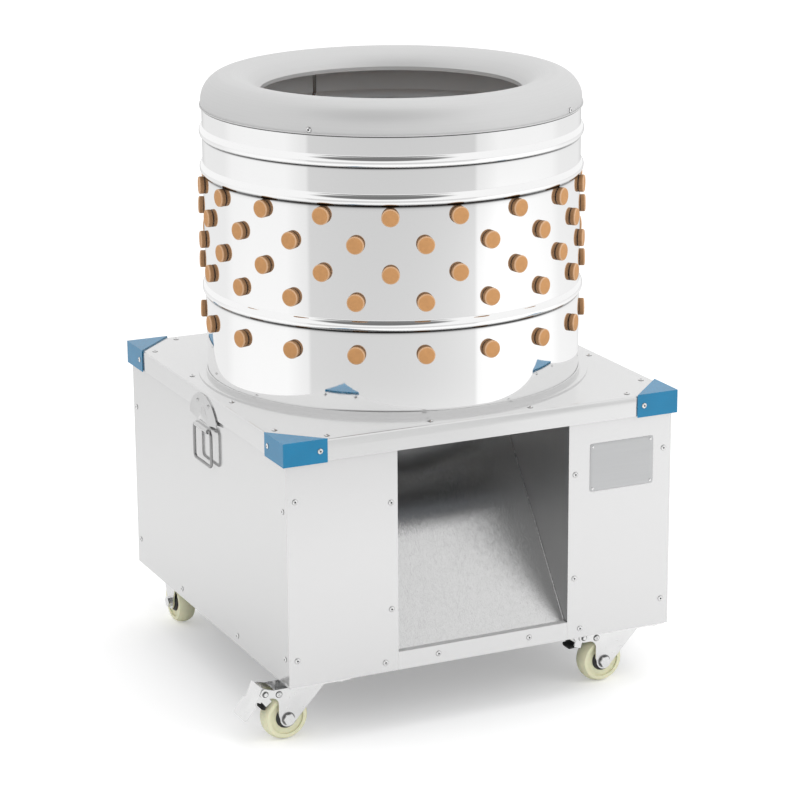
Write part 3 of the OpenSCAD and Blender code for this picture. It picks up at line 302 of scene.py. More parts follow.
# %% Paint the floor
def floor_finish(white, glow, fan_way, fan_point, shades):
    """White matt, mixed with a plain glow for camera rays. For reflections it is multiplied by a
    shade that depends on half of one plus the cosine of the angle between fan_way and the way
    from fan_point, and that fades in between two distances from that point."""
    fade_near, fade_far, glow_strength = 0.9, 2.2, 2.1
    material = bpy.data.materials.new("studio_floor")
    material.use_nodes = True
    tree = material.node_tree
    tree.nodes.remove(tree.nodes["Principled BSDF"])
    path = shader_node(tree, "LightPath").outputs
    place = shader_node(tree, "TexCoord").outputs["Object"]
    offset = shader_node(tree, "VectorMath", {0: place, 1: fan_point}, operation="SUBTRACT")
    away = offset.outputs["Vector"]
    reach = shader_node(tree, "VectorMath", {0: away}, operation="LENGTH")
    unit = shader_node(tree, "VectorMath", {0: away}, operation="NORMALIZE")
    cosine = shader_node(
        tree, "VectorMath", {0: unit.outputs["Vector"], 1: fan_way}, operation="DOT_PRODUCT"
    )
    half = shader_node(
        tree, "Math", {0: cosine.outputs["Value"], 1: 0.5, 2: 0.5}, operation="MULTIPLY_ADD"
    )
    fan = shader_node(tree, "ValToRGB", {"Fac": half.outputs["Value"]})
    stops = fan.color_ramp.elements
    while len(stops) < len(shades):
        stops.new(0.5)
    for stop, (at, shade) in zip(stops, shades):
        stop.position = at
        stop.color = (white * shade, white * shade, white * shade, 1.0)
    fade = shader_node(
        tree, "MapRange",
        {"Value": reach.outputs["Value"], "From Min": fade_near, "From Max": fade_far},
        interpolation_type="SMOOTHSTEP",
    )
    share = shader_node(
        tree, "Math", {0: fade.outputs["Result"], 1: path["Is Glossy Ray"]}, operation="MULTIPLY"
    )
    plain, grey = (white, white, white, 1.0), fan.outputs["Color"]
    colour = shader_node(
        tree, "Mix", {"Factor": share.outputs["Value"], "A": plain, "B": grey}, data_type="RGBA"
    )
    matt = shader_node(tree, "BsdfDiffuse", {"Color": colour.outputs["Result"]})
    lit = shader_node(tree, "Emission", {"Strength": glow_strength})
    seen = shader_node(tree, "Math", {0: path["Is Camera Ray"], 1: glow}, operation="MULTIPLY")
    blend = shader_node(
        tree, "MixShader", {0: seen.outputs["Value"], 1: matt.outputs[0], 2: lit.outputs[0]}
    )
    tree.links.new(blend.outputs[0], tree.nodes["Material Output"].inputs["Surface"])
    return material


camera_side = (-0.4217, -0.9067, 0.0)
mirror_reach = 0.15
mirror_point = tuple(mirror_reach * part for part in camera_side)
behind_shades = ((0.0, 0.5), (0.03, 0.8), (0.06, 0.88), (0.25, 0.9), (0.32, 0.98))
front_shades = ((0.45, 1.0), (0.7, 1.0), (0.78, 0.9), (0.805, 0.88), (0.82, 0.71), (1.0, 0.67))
fan_shades = (*behind_shades, *front_shades)
floor_paint = floor_finish(
    white=0.95, glow=0.14, fan_way=camera_side, fan_point=mirror_point, shades=fan_shades
)
floor.data.materials.append(floor_paint)
print("floor painted with", len(fan_shades), "shades")

# %% [markdown]
# ## Helpers for the finishes
# A finish is one Principled shader. Noise in Object coordinates, which are metres in the
# machine's own frame, varies its roughness, its colour and a shallow bump. Stretching the
# noise along one axis turns grains into brushing lines.

# %% Start a finish
def new_finish(name, colour, metallic, roughness):
    """A Principled material with its plain values set on the shader's own sockets."""
    material = bpy.data.materials.new(name)
    material.use_nodes = True
    shader = shader_of(material)
    shader.inputs["Base Color"].default_value = (*colour, 1.0)
    shader.inputs["Metallic"].default_value = metallic
    shader.inputs["Roughness"].default_value = roughness
    return material


def shader_of(material):
    return material.node_tree.nodes["Principled BSDF"]


def grain(material, scale, stretch=(1.0, 1.0, 1.0), detail=3.0):
    """Noise of so many features per metre; a stretch below one draws it out along that axis."""
    tree = material.node_tree
    place = shader_node(tree, "TexCoord").outputs["Object"]
    mapping = shader_node(tree, "Mapping", {"Vector": place, "Scale": stretch})
    way = mapping.outputs["Vector"]
    noise = shader_node(tree, "TexNoise", {"Vector": way, "Scale": scale, "Detail": detail})
    return noise.outputs[0]


print("noise and plain values ready")

# %% Vary a finish with noise
noise_low, noise_high = 0.3, 0.7


def vary(material, source, socket, low, high):
    """The middle of the noise, from noise_low to noise_high, becomes low to high on a socket."""
    tree = material.node_tree
    spread = shader_node(
        tree, "MapRange", {"Value": source, 1: noise_low, 2: noise_high, 3: low, 4: high}
    )
    tree.links.new(spread.outputs["Result"], shader_of(material).inputs[socket])


def tint(material, source, dark, light):
    """The noise runs the base colour from dark to light."""
    tree = material.node_tree
    ramp = shader_node(tree, "ValToRGB", {"Fac": source})
    stops = ramp.color_ramp.elements
    for stop, at, colour in zip(stops, (noise_low, noise_high), (dark, light)):
        stop.position = at
        stop.color = (*colour, 1.0)
    tree.links.new(ramp.outputs["Color"], shader_of(material).inputs["Base Color"])


def relief(material, source, depth):
    """A bump whose full height is depth metres."""
    tree = material.node_tree
    bump = shader_node(tree, "Bump", {"Height": source, "Strength": 1.0, "Distance": depth})
    tree.links.new(bump.outputs["Normal"], shader_of(material).inputs["Normal"])


def colour_by_attribute(material, attribute, colour):
    """Mix the base colour, plain or noisy, towards another by an attribute of the points."""
    tree = material.node_tree
    entry = shader_of(material).inputs["Base Color"]
    amount = shader_node(tree, "Attribute", attribute_name=attribute).outputs["Fac"]
    plain = entry.links[0].from_socket if entry.is_linked else tuple(entry.default_value)
    blend = shader_node(
        tree, "Mix", {"Factor": amount, "A": plain, "B": (*colour, 1.0)}, data_type="RGBA"
    )
    tree.links.new(blend.outputs["Result"], entry)


print("finish helpers ready")

# %% [markdown]
# ## Steel finishes
# The same stainless steel is finished in several ways. The drum wall is polished nearly to a
# mirror, with a faint wave left by the rolls. The rim is spun, so its fine lines run round it.
# The cabinet sheets are bright with a soft brushed grain, and the chute is scratched along its
# slope. Inner faces were never polished, so they are dull. The table's under faces and the rotor
# plate are darkened steel: painted shade.

# %% Polish the drum and spin the rim
def polished_drum_steel():
    """A mirror with a shallow wave; the crease attribute blackens the line under each bead."""
    steel = new_finish("polished_drum_steel", (0.92, 0.92, 0.92), 1.0, 0.05)
    vary(steel, grain(steel, 60.0, (1.0, 1.0, 0.08)), "Roughness", 0.03, 0.07)
    relief(steel, grain(steel, 5.0, (1.0, 1.0, 0.25), 1.0), 0.0003)
    colour_by_attribute(steel, "crease", (0.012, 0.012, 0.012))
    return steel


def spun_rim_steel():
    """Lines that depend only on the distance from the axis and on the height run round it."""
    steel = new_finish("spun_rim_steel", (0.6, 0.6, 0.6), 0.5, 0.5)
    tree = steel.node_tree
    place = shader_node(tree, "TexCoord").outputs["Object"]
    split = shader_node(tree, "SeparateXYZ", {0: place}).outputs
    flat = shader_node(tree, "CombineXYZ", {"X": split["X"], "Y": split["Y"]}).outputs[0]
    reach = shader_node(tree, "VectorMath", {0: flat}, operation="LENGTH").outputs["Value"]
    pair = shader_node(tree, "CombineXYZ", {"X": reach, "Y": split["Z"]}).outputs[0]
    lines = shader_node(tree, "TexNoise", {"Vector": pair, "Scale": 700.0}).outputs[0]
    vary(steel, lines, "Roughness", 0.42, 0.56)
    relief(steel, lines, 0.00003)
    return steel


finishes = {"drum_steel": polished_drum_steel(), "rim_steel": spun_rim_steel()}
print("round steel finishes:", sorted(finishes))

# %% Brush the sheets
def brushed_sheet(
    name, colour, stretch, low, high, metallic=1.0, groove=0.000002, fineness=300.0
):
    """Roughness between low and high, and grooves of the given depth, so many to the metre. The
    grooves run along the axis whose stretch is small."""
    sheet = new_finish(name, colour, metallic, (low + high) / 2)
    vary(sheet, grain(sheet, 420.0, stretch), "Roughness", low, high)
    relief(sheet, grain(sheet, fineness, stretch, 2.0), groove)
    return sheet


finishes["sheet_steel"] = brushed_sheet(
    "bright_panel_steel", (0.69, 0.69, 0.69), (0.03, 0.03, 1.0), 0.09, 0.14, metallic=0.7
)
finishes["chute_steel"] = brushed_sheet(
    "brushed_chute_steel", (0.68, 0.68, 0.68), (1.0, 0.04, 0.04), 0.07, 0.12,
    metallic=0.94, groove=0.00012, fineness=3000.0,
)
# The rotor's steel is darkened: painted shade inside the closed drum.
finishes["rotor_steel"] = brushed_sheet(
    "rotor_steel_painted_shade", (0.33, 0.335, 0.34), (1.0, 0.05, 1.0), 0.3, 0.45
)
finishes["shaft_steel"] = brushed_sheet(
    "turned_shaft_steel", (0.55, 0.55, 0.56), (0.05, 0.05, 1.0), 0.22, 0.36
)
table_steel = brushed_sheet(
    "bright_table_steel", (0.71, 0.71, 0.71), (0.03, 1.0, 1.0), 0.12, 0.18,
    metallic=0.8, groove=0.0000003,
)
sill_steel = brushed_sheet(
    "satin_sill_steel", (0.68, 0.68, 0.68), (0.03, 1.0, 1.0), 0.3, 0.4,
    metallic=0.25, groove=0.0000003,
)
wall_steel = brushed_sheet(
    "brushed_wall_steel", (0.7, 0.7, 0.7), (1.0, 1.0, 0.05), 0.3, 0.45, metallic=0.97
)
# The table's under faces are darkened: painted shade.
table_underside_shade_steel = brushed_sheet(
    "table_underside_painted_shade", (0.12, 0.12, 0.12), (1.0, 0.05, 1.0), 0.4, 0.55
)
dull_steel = brushed_sheet(
    "dull_inner_steel", (0.72, 0.75, 0.77), (1.0, 1.0, 0.05), 0.4, 0.55, metallic=0.1
)
print("steel finishes:", sorted(finishes))

# %% [markdown]
# ## Zinc, iron and paint
# Castors and screws are zinc plated: a bright metal with a cloudy, slightly uneven shine.
# Pulleys and bearings are iron, with a sandy cast skin. The blue corner caps and the motor
# are painted, and paint never dries quite flat, so it gets a shallow orange peel.

# %% Zinc, iron and paint
def zinc_plate(name, colour, low, high):
    """Clouds of roughness between low and high, over a colour that dips a little in places."""
    zinc = new_finish(name, colour, 1.0, (low + high) / 2)
    clouds = grain(zinc, 120.0, detail=4.0)
    vary(zinc, clouds, "Roughness", low, high)
    tint(zinc, grain(zinc, 35.0), tuple(0.94 * c for c in colour), colour)
    relief(zinc, clouds, 0.000006)
    return zinc


def cast_iron(name, colour, metallic):
    """A sandy bump of a tenth of a millimetre, over a colour with broad dark patches."""
    iron = new_finish(name, colour, metallic, 0.55)
    sand = grain(iron, 900.0, detail=4.0)
    tint(iron, grain(iron, 60.0), tuple(0.7 * c for c in colour), colour)
    vary(iron, sand, "Roughness", 0.45, 0.65)
    relief(iron, sand, 0.0001)
    return iron


def sprayed_paint(name, colour, roughness, peel):
    """Even paint with a shallow peel of the given height in metres."""
    paint = new_finish(name, colour, 0.0, roughness)
    tint(paint, grain(paint, 25.0), tuple(0.9 * c for c in colour), colour)
    vary(paint, grain(paint, 300.0), "Roughness", 0.85 * roughness, 1.15 * roughness)
    relief(paint, grain(paint, 450.0, detail=1.0), peel)
    return paint


finishes["castor_zinc"] = zinc_plate("castor_zinc_plate", (0.8, 0.8, 0.8), 0.2, 0.28)
# The handle and wire zinc are darker copies of the castor zinc: painted shade on the handle plates,
# the bails and the drum weld.
handle_zinc_shaded_copy = zinc_plate("handle_zinc_painted_shade", (0.62, 0.62, 0.62), 0.14, 0.2)
wire_zinc_shaded_copy = zinc_plate("wire_zinc_painted_shade", (0.33, 0.33, 0.33), 0.14, 0.2)
shade_ring_zinc = zinc_plate("shade_ring_painted_zinc", (0.2, 0.2, 0.2), 0.3, 0.4)
finishes["screw_steel"] = zinc_plate("screw_zinc_plate", (0.82, 0.82, 0.82), 0.22, 0.3)
finishes["pulley_iron"] = cast_iron("machined_pulley_iron", (0.3, 0.3, 0.31), 1.0)
finishes["bearing_iron"] = cast_iron("cast_bearing_iron", (0.04, 0.047, 0.06), 0.0)
finishes["frame_steel"] = sprayed_paint("grey_frame_paint", (0.17, 0.185, 0.21), 0.5, 0.00004)
finishes["motor_paint"] = sprayed_paint("dark_motor_paint", (0.033, 0.047, 0.073), 0.42, 0.00005)
finishes["cap_blue"] = sprayed_paint("blue_cap_paint", (0.0, 0.19, 0.375), 0.22, 0.00004)
print("painted and plated finishes:", len(finishes))

# %% [markdown]
# ## Rubber and plastic
# The plucking fingers are tan natural rubber with a chalky, mottled skin. The wheels are cream
# nylon, which lets a little light in. The brake blocks and the belt are black rubber, and the
# switch is moulded plastic with a fine spark-eroded grain.

# %% Rubber and plastic
def moulded(name, colour, roughness, mottle, skin_scale, skin_depth):
    """Colour between itself and its share mottle, and a fine skin of so many grains per metre."""
    plastic = new_finish(name, colour, 0.0, roughness)
    tint(plastic, grain(plastic, 140.0, detail=4.0), tuple(mottle * c for c in colour), colour)
    skin = grain(plastic, skin_scale, detail=2.0)
    vary(plastic, skin, "Roughness", 0.88 * roughness, min(1.0, 1.12 * roughness))
    relief(plastic, skin, skin_depth)
    return plastic


tan_rubber = ((0.56, 0.28, 0.105), 0.72, 0.9, 700.0, 0.00005)
for slot, name, settings in (
    ("finger_rubber", "tan_finger_rubber", tan_rubber),
    ("wheel_nylon", "cream_wheel_nylon", ((0.78, 0.77, 0.54), 0.42, 0.93, 260.0, 0.00003)),
    ("brake_rubber", "black_brake_rubber", ((0.02, 0.02, 0.02), 0.8, 0.7, 800.0, 0.0001)),
    ("belt_rubber", "black_belt_rubber", ((0.018, 0.018, 0.018), 0.75, 0.7, 600.0, 0.0001)),
    ("switch_plastic", "grey_switch_plastic", ((0.1, 0.107, 0.12), 0.5, 0.92, 1500.0, 0.00005)),
    ("button_green", "green_button_plastic", ((0.01, 0.17, 0.022), 0.25, 0.93, 500.0, 0.00001)),
    ("button_red", "red_button_plastic", ((0.38, 0.008, 0.006), 0.25, 0.93, 500.0, 0.00001)),
    ("gland_plastic", "black_gland_plastic", ((0.012, 0.012, 0.013), 0.45, 0.9, 900.0, 0.00004)),
):
    finishes[slot] = moulded(name, *settings)
nylon = shader_of(finishes["wheel_nylon"])
nylon.inputs["Subsurface Weight"].default_value = 0.08
nylon.inputs["Subsurface Scale"].default_value = 0.004
print("all finishes:", len(finishes))

# %% [markdown]
# ## Dress the CAD nodes
# The record names a material slot for every node, so one loop hands out the finishes. The
# table top and the ring on it lie flat, so they take the grain that runs across the table. The
# sill and the chute's walls shine differently and take finishes of their own. The handles take
# darker copies of the zinc, painted shade. Faces of the table that look down get darkened steel,
# painted shade, and the chute mirrors their dark edge.

# %% Assign the finishes
subparts = frame["record"]["subparts"]
for part in subparts:
    mesh = nodes[part["node"]].data
    mesh.materials.clear()
    mesh.materials.append(finishes[part["material_slot"]])
for name in ("table_top", "base_ring"):
    nodes[name].data.materials[0] = table_steel
nodes["sill"].data.materials[0] = sill_steel
for side in ("left", "right"):
    nodes[f"chute_wall_{side}"].data.materials[0] = wall_steel
    nodes[f"{side}_handle_plate"].data.materials[0] = handle_zinc_shaded_copy
    nodes[f"{side}_bail"].data.materials[0] = wire_zinc_shaded_copy
table_mesh = nodes["table_top"].data
table_mesh.materials.append(table_underside_shade_steel)
facing = np.empty(3 * len(table_mesh.polygons))
table_mesh.polygons.foreach_get("normal", facing)
looks_down = facing[2::3] < -0.5
table_mesh.polygons.foreach_set("material_index", looks_down.astype(np.int32))
print("dressed", len(subparts), "nodes;", int(looks_down.sum()), "faces of the table look down")

# %% [markdown]
# ## The drum wall
# A mirror shows every fault of a mesh, and the CAD wall is cut by ninety finger holes whose
# odd triangles would ripple the reflections. The holes are covered by the finger heads, so a
# clean turned wall can stand for the CAD node: one profile of outer and inner skin, spun.

# %% Spin the drum wall
drum_radius, drum_sheet, drum_steps = 0.300, 0.0015, 288
bead_tall, bead_proud, bead_foot = 0.018, 0.005, 0.0004
bead_heights = np.array([0.6285, 0.822, 0.880])
drum_low, drum_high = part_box("drum")[0].z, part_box("drum")[1].z


def drum_outer_radius(z):
    """Wall radius plus, at each bead, the rise of a round arc, with its foot softly rounded."""
    arc = (bead_tall**2 / 4 + bead_proud**2) / (2 * bead_proud)
    rise = np.zeros_like(z)
    for height in bead_heights:
        level = np.sqrt(np.clip(arc**2 - (z - height) ** 2, 0.0, None)) - (arc - bead_proud)
        rise = rise + 0.5 * (level + np.sqrt(level**2 + bead_foot**2))
    return drum_radius + np.clip(rise, 0.0, bead_proud)


def turned_shell(name, radii, heights, steps):
    """A closed profile of radius and height, carried round the Z axis."""
    turn = full_turn(steps)[:, None]
    upright = heights + 0.0 * turn
    points = np.stack([radii * np.cos(turn), radii * np.sin(turn), upright], axis=-1)
    faces = grid_faces(steps, len(radii), close_rows=True, close_columns=True)
    return outward_piece(name, points, faces)


bead_reach, bead_rows, plain_rows = 0.0125, 36, 40
bead_line = np.linspace(-bead_reach, bead_reach, bead_rows)
bead_levels = np.concatenate([height + bead_line for height in bead_heights])
plain_levels = np.linspace(drum_low, drum_high, plain_rows)
wall_levels = np.unique(np.concatenate([plain_levels, bead_levels]))
outer_skin = drum_outer_radius(wall_levels)
profile_r = np.concatenate([outer_skin, outer_skin[::-1] - drum_sheet])
profile_z = np.concatenate([wall_levels, wall_levels[::-1]])
drum_wall = turned_shell("drum_wall", profile_r, profile_z, drum_steps)
drum_wall.data.materials.append(finishes["drum_steel"])
drum_wall.data.materials.append(dull_steel)
inside = np.tile(np.arange(len(profile_z)) >= len(wall_levels), drum_steps)
drum_wall.data.polygons.foreach_set("material_index", inside.astype(np.int32))
print("drum wall faces:", len(drum_wall.data.polygons))

# %% [markdown]
# Under each bead the sheet folds back into a tight corner, and shade makes a black line of it.
# The mesh is too smooth there to go black by itself. An attribute on the points carries the
# line, as a bell curve of the height just above the bead's foot, and the drum's finish reads it.

# %% Draw the creases under the beads
crease_wide = np.array([0.0024, 0.0027, 0.0018])[:, None]
crease_lift, crease_strength = 0.4, 1.3
crease_middles = bead_heights[:, None] - bead_tall / 2 + crease_lift * crease_wide
crease_bells = np.exp(-(((profile_z - crease_middles) / crease_wide) ** 2))
crease_line = np.clip(crease_strength * crease_bells, 0.0, 1.0).max(axis=0)
crease = drum_wall.data.attributes.new("crease", "FLOAT", "POINT")
crease.data.foreach_set("value", np.tile(crease_line, drum_steps).astype(np.float32))
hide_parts("drum")
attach(drum_wall, "machine")
print("creases:", len(crease_wide))

# %% [markdown]
# The drum is a rolled sheet, so it has one weld. It runs up the back between two columns of
# fingers, and through the mouth it shows as a dark upright line. A flat oval carried along the
# wall's own profile makes it, standing half a millimetre proud inside and outside; its dark zinc
# is partly painted shade. A thin dark ring under the rim's skirt is painted shade: it draws the
# dark line of the gap between the rim and the wall.

# %% Weld the drum and paint the shade under the rim
weld_inset, weld_steps = 0.0005, 12


def weld_seam(name, turn, half_wide, half_thick):
    """At height z the oval is centred in the sheet: radius = middle + half_thick * sin, and the
    shift round the wall = half_wide * cos."""
    heights = np.clip(wall_levels, drum_low + weld_inset, drum_high - weld_inset)
    middle = (drum_outer_radius(heights) - drum_sheet / 2)[:, None]
    oval = full_turn(weld_steps)[None, :]
    size = np.ones_like(middle)
    size[[0, -1]] = 0.0
    reach = middle + size * half_thick * np.sin(oval)
    angle = turn + size * half_wide * np.cos(oval) / middle
    upright = heights[:, None] + 0.0 * oval
    points = np.stack([reach * np.cos(angle), reach * np.sin(angle), upright], axis=-1)
    return outward_piece(name, points, grid_faces(len(heights), weld_steps, close_columns=True))


drum_weld = weld_seam("drum_weld", math.radians(90.5), half_wide=0.0042, half_thick=0.0012)
dress(drum_weld, wire_zinc_shaded_copy, "machine")
# The dark ring under the rim is painted shade for the gap between rim and wall.
rim_gap_shade_finish = moulded("rim_gap_painted_shade", (0.03, 0.03, 0.03), 0.6, 0.85, 600.0, 0.00003)
rim_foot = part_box("drum_rim")[0].z
rim_gap_radii = np.array([0.3001, 0.3014, 0.3016, 0.3012, 0.3001])
rim_gap_heights = rim_foot + np.array([-0.0018, -0.0018, -0.0010, -0.0001, -0.0001])
rim_gap_shade = turned_shell("rim_gap_shade", rim_gap_radii, rim_gap_heights, drum_steps)
dress(rim_gap_shade, rim_gap_shade_finish, "machine")
print("weld points:", len(drum_weld.data.vertices), "seal points:", len(rim_gap_shade.data.vertices))

# %% [markdown]
# ## Small turned pieces
# Fingers, socket liners, washers, bezels and hub covers are all the same kind of thing: a short
# profile spun about its own axis and set down at several places. One helper makes every copy at
# once: a grid of profile by turn is multiplied by the copies' places and by the ways they face.

# %% Spin a profile at many places
def facing_axes(outward):
    """For each outward direction, two more directions that make a right-handed set with it."""
    outward = np.asarray(outward, float)
    helper = np.where(np.abs(outward[:, 2:3]) > 0.9, [[1.0, 0.0, 0.0]], [[0.0, 0.0, 1.0]])
    first = np.cross(helper, outward)
    first /= np.linalg.norm(first, axis=1, keepdims=True)
    return first, np.cross(outward, first), outward


def turned_copies(name, places, outward, radii, heights, steps, body, finish):
    """Point = place + outward * height + radius * (first * cos + second * sin), for every copy,
    every step of the turn and every point of the profile. A profile starts and ends on the axis,
    or else it is a closed loop off the axis."""
    places = np.asarray(places, float)
    first, second, away = facing_axes(outward)
    turn = full_turn(steps)[:, None]
    ring = first[:, None] * np.cos(turn) + second[:, None] * np.sin(turn)
    radii, heights = np.asarray(radii, float), np.asarray(heights, float)
    points = (
        places[:, None, None]
        + away[:, None, None] * heights[None, None, :, None]
        + ring[:, :, None] * radii[None, None, :, None]
    )
    closed = radii[0] > 0
    one = grid_faces(steps, len(radii), close_rows=True, close_columns=closed)
    flat = points.reshape(-1, 3)
    shift = steps * len(radii) * np.arange(len(places))
    faces = (one[None] + shift[:, None, None]).reshape(-1, 4)
    if signed_volume(flat[: steps * len(radii)] - flat[0], one) < 0:
        faces = faces[:, ::-1]
    piece = piece_from(name, flat, faces)
    dress(piece, finish, body)
    return piece


print("turned copies ready")

# %% [markdown]
# ## Plucking fingers
# A finger is moulded in one piece: a button head outside the wall, then a neck, a collar and a
# ribbed end that reaches into the drum. It is a turned form, so one profile and the helper above
# make a whole row. The polished wall mirrors each head, and the two look like a pair of discs
# with a dark line between them. Two attributes on the points paint light and shade: painted
# shade in that contact line and along the head's side, and a painted highlight on the outer edge.

# %% Paint shade and highlight on the finger rubber
def finger_rubber_painted_light():
    """The mottled tan, mixed towards a painted shade colour by one attribute and towards a painted
    highlight colour by the other.
    """
    rubber = moulded("finger_rubber_painted_light", *tan_rubber)
    colour_by_attribute(rubber, "grime", (0.045, 0.035, 0.03))
    colour_by_attribute(rubber, "wear", (0.85, 0.66, 0.5))
    return rubber


finger_rubber_with_painted_light = finger_rubber_painted_light()
print("stained", finger_rubber_with_painted_light.name)

# %% Draw the finger's profile
# Radius and height above the wall, in millimetres.
head_r = [0.0, 6.0, 11.6, 12.8, 13.5, 13.75, 13.75, 13.75, 13.75, 13.65, 13.4, 12.9]
head_z = [9.0, 9.0, 8.95, 8.7, 8.0, 7.0, 6.0, 3.5, 1.4, 0.7, 0.3, 0.1]
neck_r = [9.45, 9.45, 12.1, 12.5, 12.5, 12.1]
neck_z = [0.1, -1.86, -1.86, -2.3, -5.5, -5.86]
body_top, body_end, body_long = -5.86, -69.86, 64.0
end_radius, taper = 8.5, 2.5
rib_count, rib_proud, rib_half = 5, 1.2, 2.2
body_z = np.linspace(-6.1, body_end, 49)
rib_middles = body_top - body_long / (rib_count + 1) * np.arange(1, rib_count + 1)
rib_shape = np.exp(-(((body_z[:, None] - rib_middles) / rib_half) ** 6))
body_r = end_radius + taper * (body_z - body_end) / body_long + rib_proud * rib_shape.sum(axis=1)
tip_r, tip_z = [7.9, 6.0, 3.2, 0.0], [-71.3, -72.5, -73.1, -73.26]
finger_r = 0.001 * np.concatenate([head_r, neck_r, body_r, tip_r])
finger_z = 0.001 * np.concatenate([head_z, neck_z, body_z, tip_z])
print("finger", round(finger_z[0] - finger_z[-1], 4), "m long, profile points:", len(finger_r))

# %% Mould the finger rows
fingers_round, finger_steps, row_turns = 18, 28, (0.23, 0.23, 0.73, 0.23, 0.73)
pitch = 2 * math.pi / fingers_round
# Painted shade by height above the wall: the contact line and the head's side are darkened.
painted_shade_heights = 0.001 * np.array([-0.5, 0.0, 0.7, 1.4, 6.0, 7.2])
painted_shade_shares = [0.0, 0.95, 0.85, 0.5, 0.4, 0.0]
# Painted highlight: a pale band round the head's outer edge.
painted_highlight_share, painted_highlight_height, painted_highlight_wide, painted_highlight_from = 0.4, 0.0081, 0.0011, 0.0122


def finger_row(row, first_turn):
    """Finger i stands on the wall at first_turn + i * pitch. A point's height above the wall is
    its reach along its own finger's axis less the wall's radius, and it sets the painted shade and
    highlight."""
    low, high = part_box(f"finger_row_{row}")
    turns = first_turn + pitch * np.arange(fingers_round)
    ways = np.stack([np.cos(turns), np.sin(turns), 0.0 * turns], axis=-1)
    places = drum_radius * ways + np.array([0.0, 0.0, 0.5 * (low.z + high.z)])
    piece = turned_copies(
        f"moulded_finger_row_{row}", places, ways, finger_r, finger_z,
        finger_steps, "machine", finger_rubber_with_painted_light,
    )
    points = np.empty(3 * len(piece.data.vertices))
    piece.data.vertices.foreach_get("co", points)
    x, y, z = points.reshape(-1, 3).T
    nearest = first_turn + pitch * np.round((np.arctan2(y, x) - first_turn) / pitch)
    height = x * np.cos(nearest) + y * np.sin(nearest) - drum_radius
    off_axis = np.hypot(y * np.cos(nearest) - x * np.sin(nearest), z - places[0, 2])
    grime = np.interp(height, painted_shade_heights, painted_shade_shares)
    wear = painted_highlight_share * np.exp(-(((height - painted_highlight_height) / painted_highlight_wide) ** 2)) * (off_axis > painted_highlight_from)
    for name, share in (("grime", grime), ("wear", wear)):
        layer = piece.data.attributes.new(name, "FLOAT", "POINT")
        layer.data.foreach_set("value", share.astype(np.float32))
    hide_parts(f"finger_row_{row}")
    return piece


finger_rows = [finger_row(i + 1, pitch * turn - math.pi / 2) for i, turn in enumerate(row_turns)]
print("finger rows:", len(finger_rows), "faces in one:", len(finger_rows[0].data.polygons))

# %% [markdown]
# ## Drive sockets of the screws
# Every screw head has a socket for the driver, and shade makes it look black. The CAD heads have
# a plain round pit, so each gets a black conical liner, which is painted shade, and a thin washer
# shows as a grey ring about the head; its dark grey is painted shade. The places repeat the screw
# rows of the CAD source: posts, jambs, sill, rails, table rows, corner caps and rim.

# %% Find the screws
panel_face, post, jamb, foot, rail, sill = 0.3295, 0.3157, 0.1583, 0.1693, 0.122, 0.079
front_levels, side_levels = (0.143, 0.395), (0.143, 0.378)
jamb_levels, low_level = (0.201, 0.372), 0.1155
cap_face, cap_at, cap_level = 0.336, 0.276, 0.4705
table_face, table_reach = 0.487, 0.256
rim_radius, rim_level, rim_turn = 0.3018, 0.926, 41.0
ends = (-1, 1)
side_row = [(s * post, z) for s in ends for z in side_levels]
side_row += [(s * rail, low_level) for s in ends]
front_row = [(s * post, z) for s in ends for z in front_levels]
front_row += [(s * jamb, z) for s in ends for z in jamb_levels]
front_row += [(s * across, low_level) for s in ends for across in (foot, sill)]
cap_row = [(s * cap_at, cap_level) for s in ends]
screw_places, screw_ways = [], []
for way in ((0, -1, 0), (0, 1, 0), (-1, 0, 0), (1, 0, 0)):
    panel_row = front_row if way == (0, -1, 0) else side_row
    for row, face in ((panel_row, panel_face), (cap_row, cap_face)):
        for along, z in row:
            place = (along, way[1] * face, z) if way[1] else (way[0] * face, along, z)
            screw_places.append(place)
            screw_ways.append(way)
for along in table_reach * np.array([-1.0, -1 / 3, 1 / 3, 1.0]):
    for side in (-post, post):
        screw_places += [(along, side, table_face), (side, along, table_face)]
        screw_ways += [(0, 0, 1), (0, 0, 1)]
for turn in np.radians(rim_turn + 90.0 * np.arange(4)):
    across, along = math.cos(turn), math.sin(turn)
    screw_places.append((rim_radius * across, rim_radius * along, rim_level))
    screw_ways.append((across, along, 0.0))
print("screws:", len(screw_places))

# %% Line the sockets
# Black liners in the pits: painted shade.
socket_finish = moulded("shaded_socket", (0.012, 0.012, 0.012), 0.7, 0.8, 900.0, 0.00002)
turned_copies(
    "screw_sockets", screw_places, screw_ways,
    [0.0, 0.0014, 0.0014, 0.0009, 0.0], [0.0009, 0.0009, 0.0017, 0.0014, 0.0013],
    12, "machine", socket_finish,
)
# Dark rings round the heads, shaped as washers: painted shade.
turned_copies(
    "screw_shade_rings", screw_places, screw_ways,
    [0.0039, 0.0045, 0.0044, 0.0040, 0.0039], [0.0, 0.0, 0.0004, 0.0005, 0.0004],
    20, "machine", shade_ring_zinc,
)
print("sockets and shade_rings:", len(screw_places))

# %% [markdown]
# ## The bare rating plate
# A thin aluminium plate sits on the right front panel, held by a fixing at each corner. It is
# left bare. Its outline is a rectangle with small round corners, which a superellipse of a high
# power gives in one formula. Rings of that outline shrink to the middle and make the flat face.

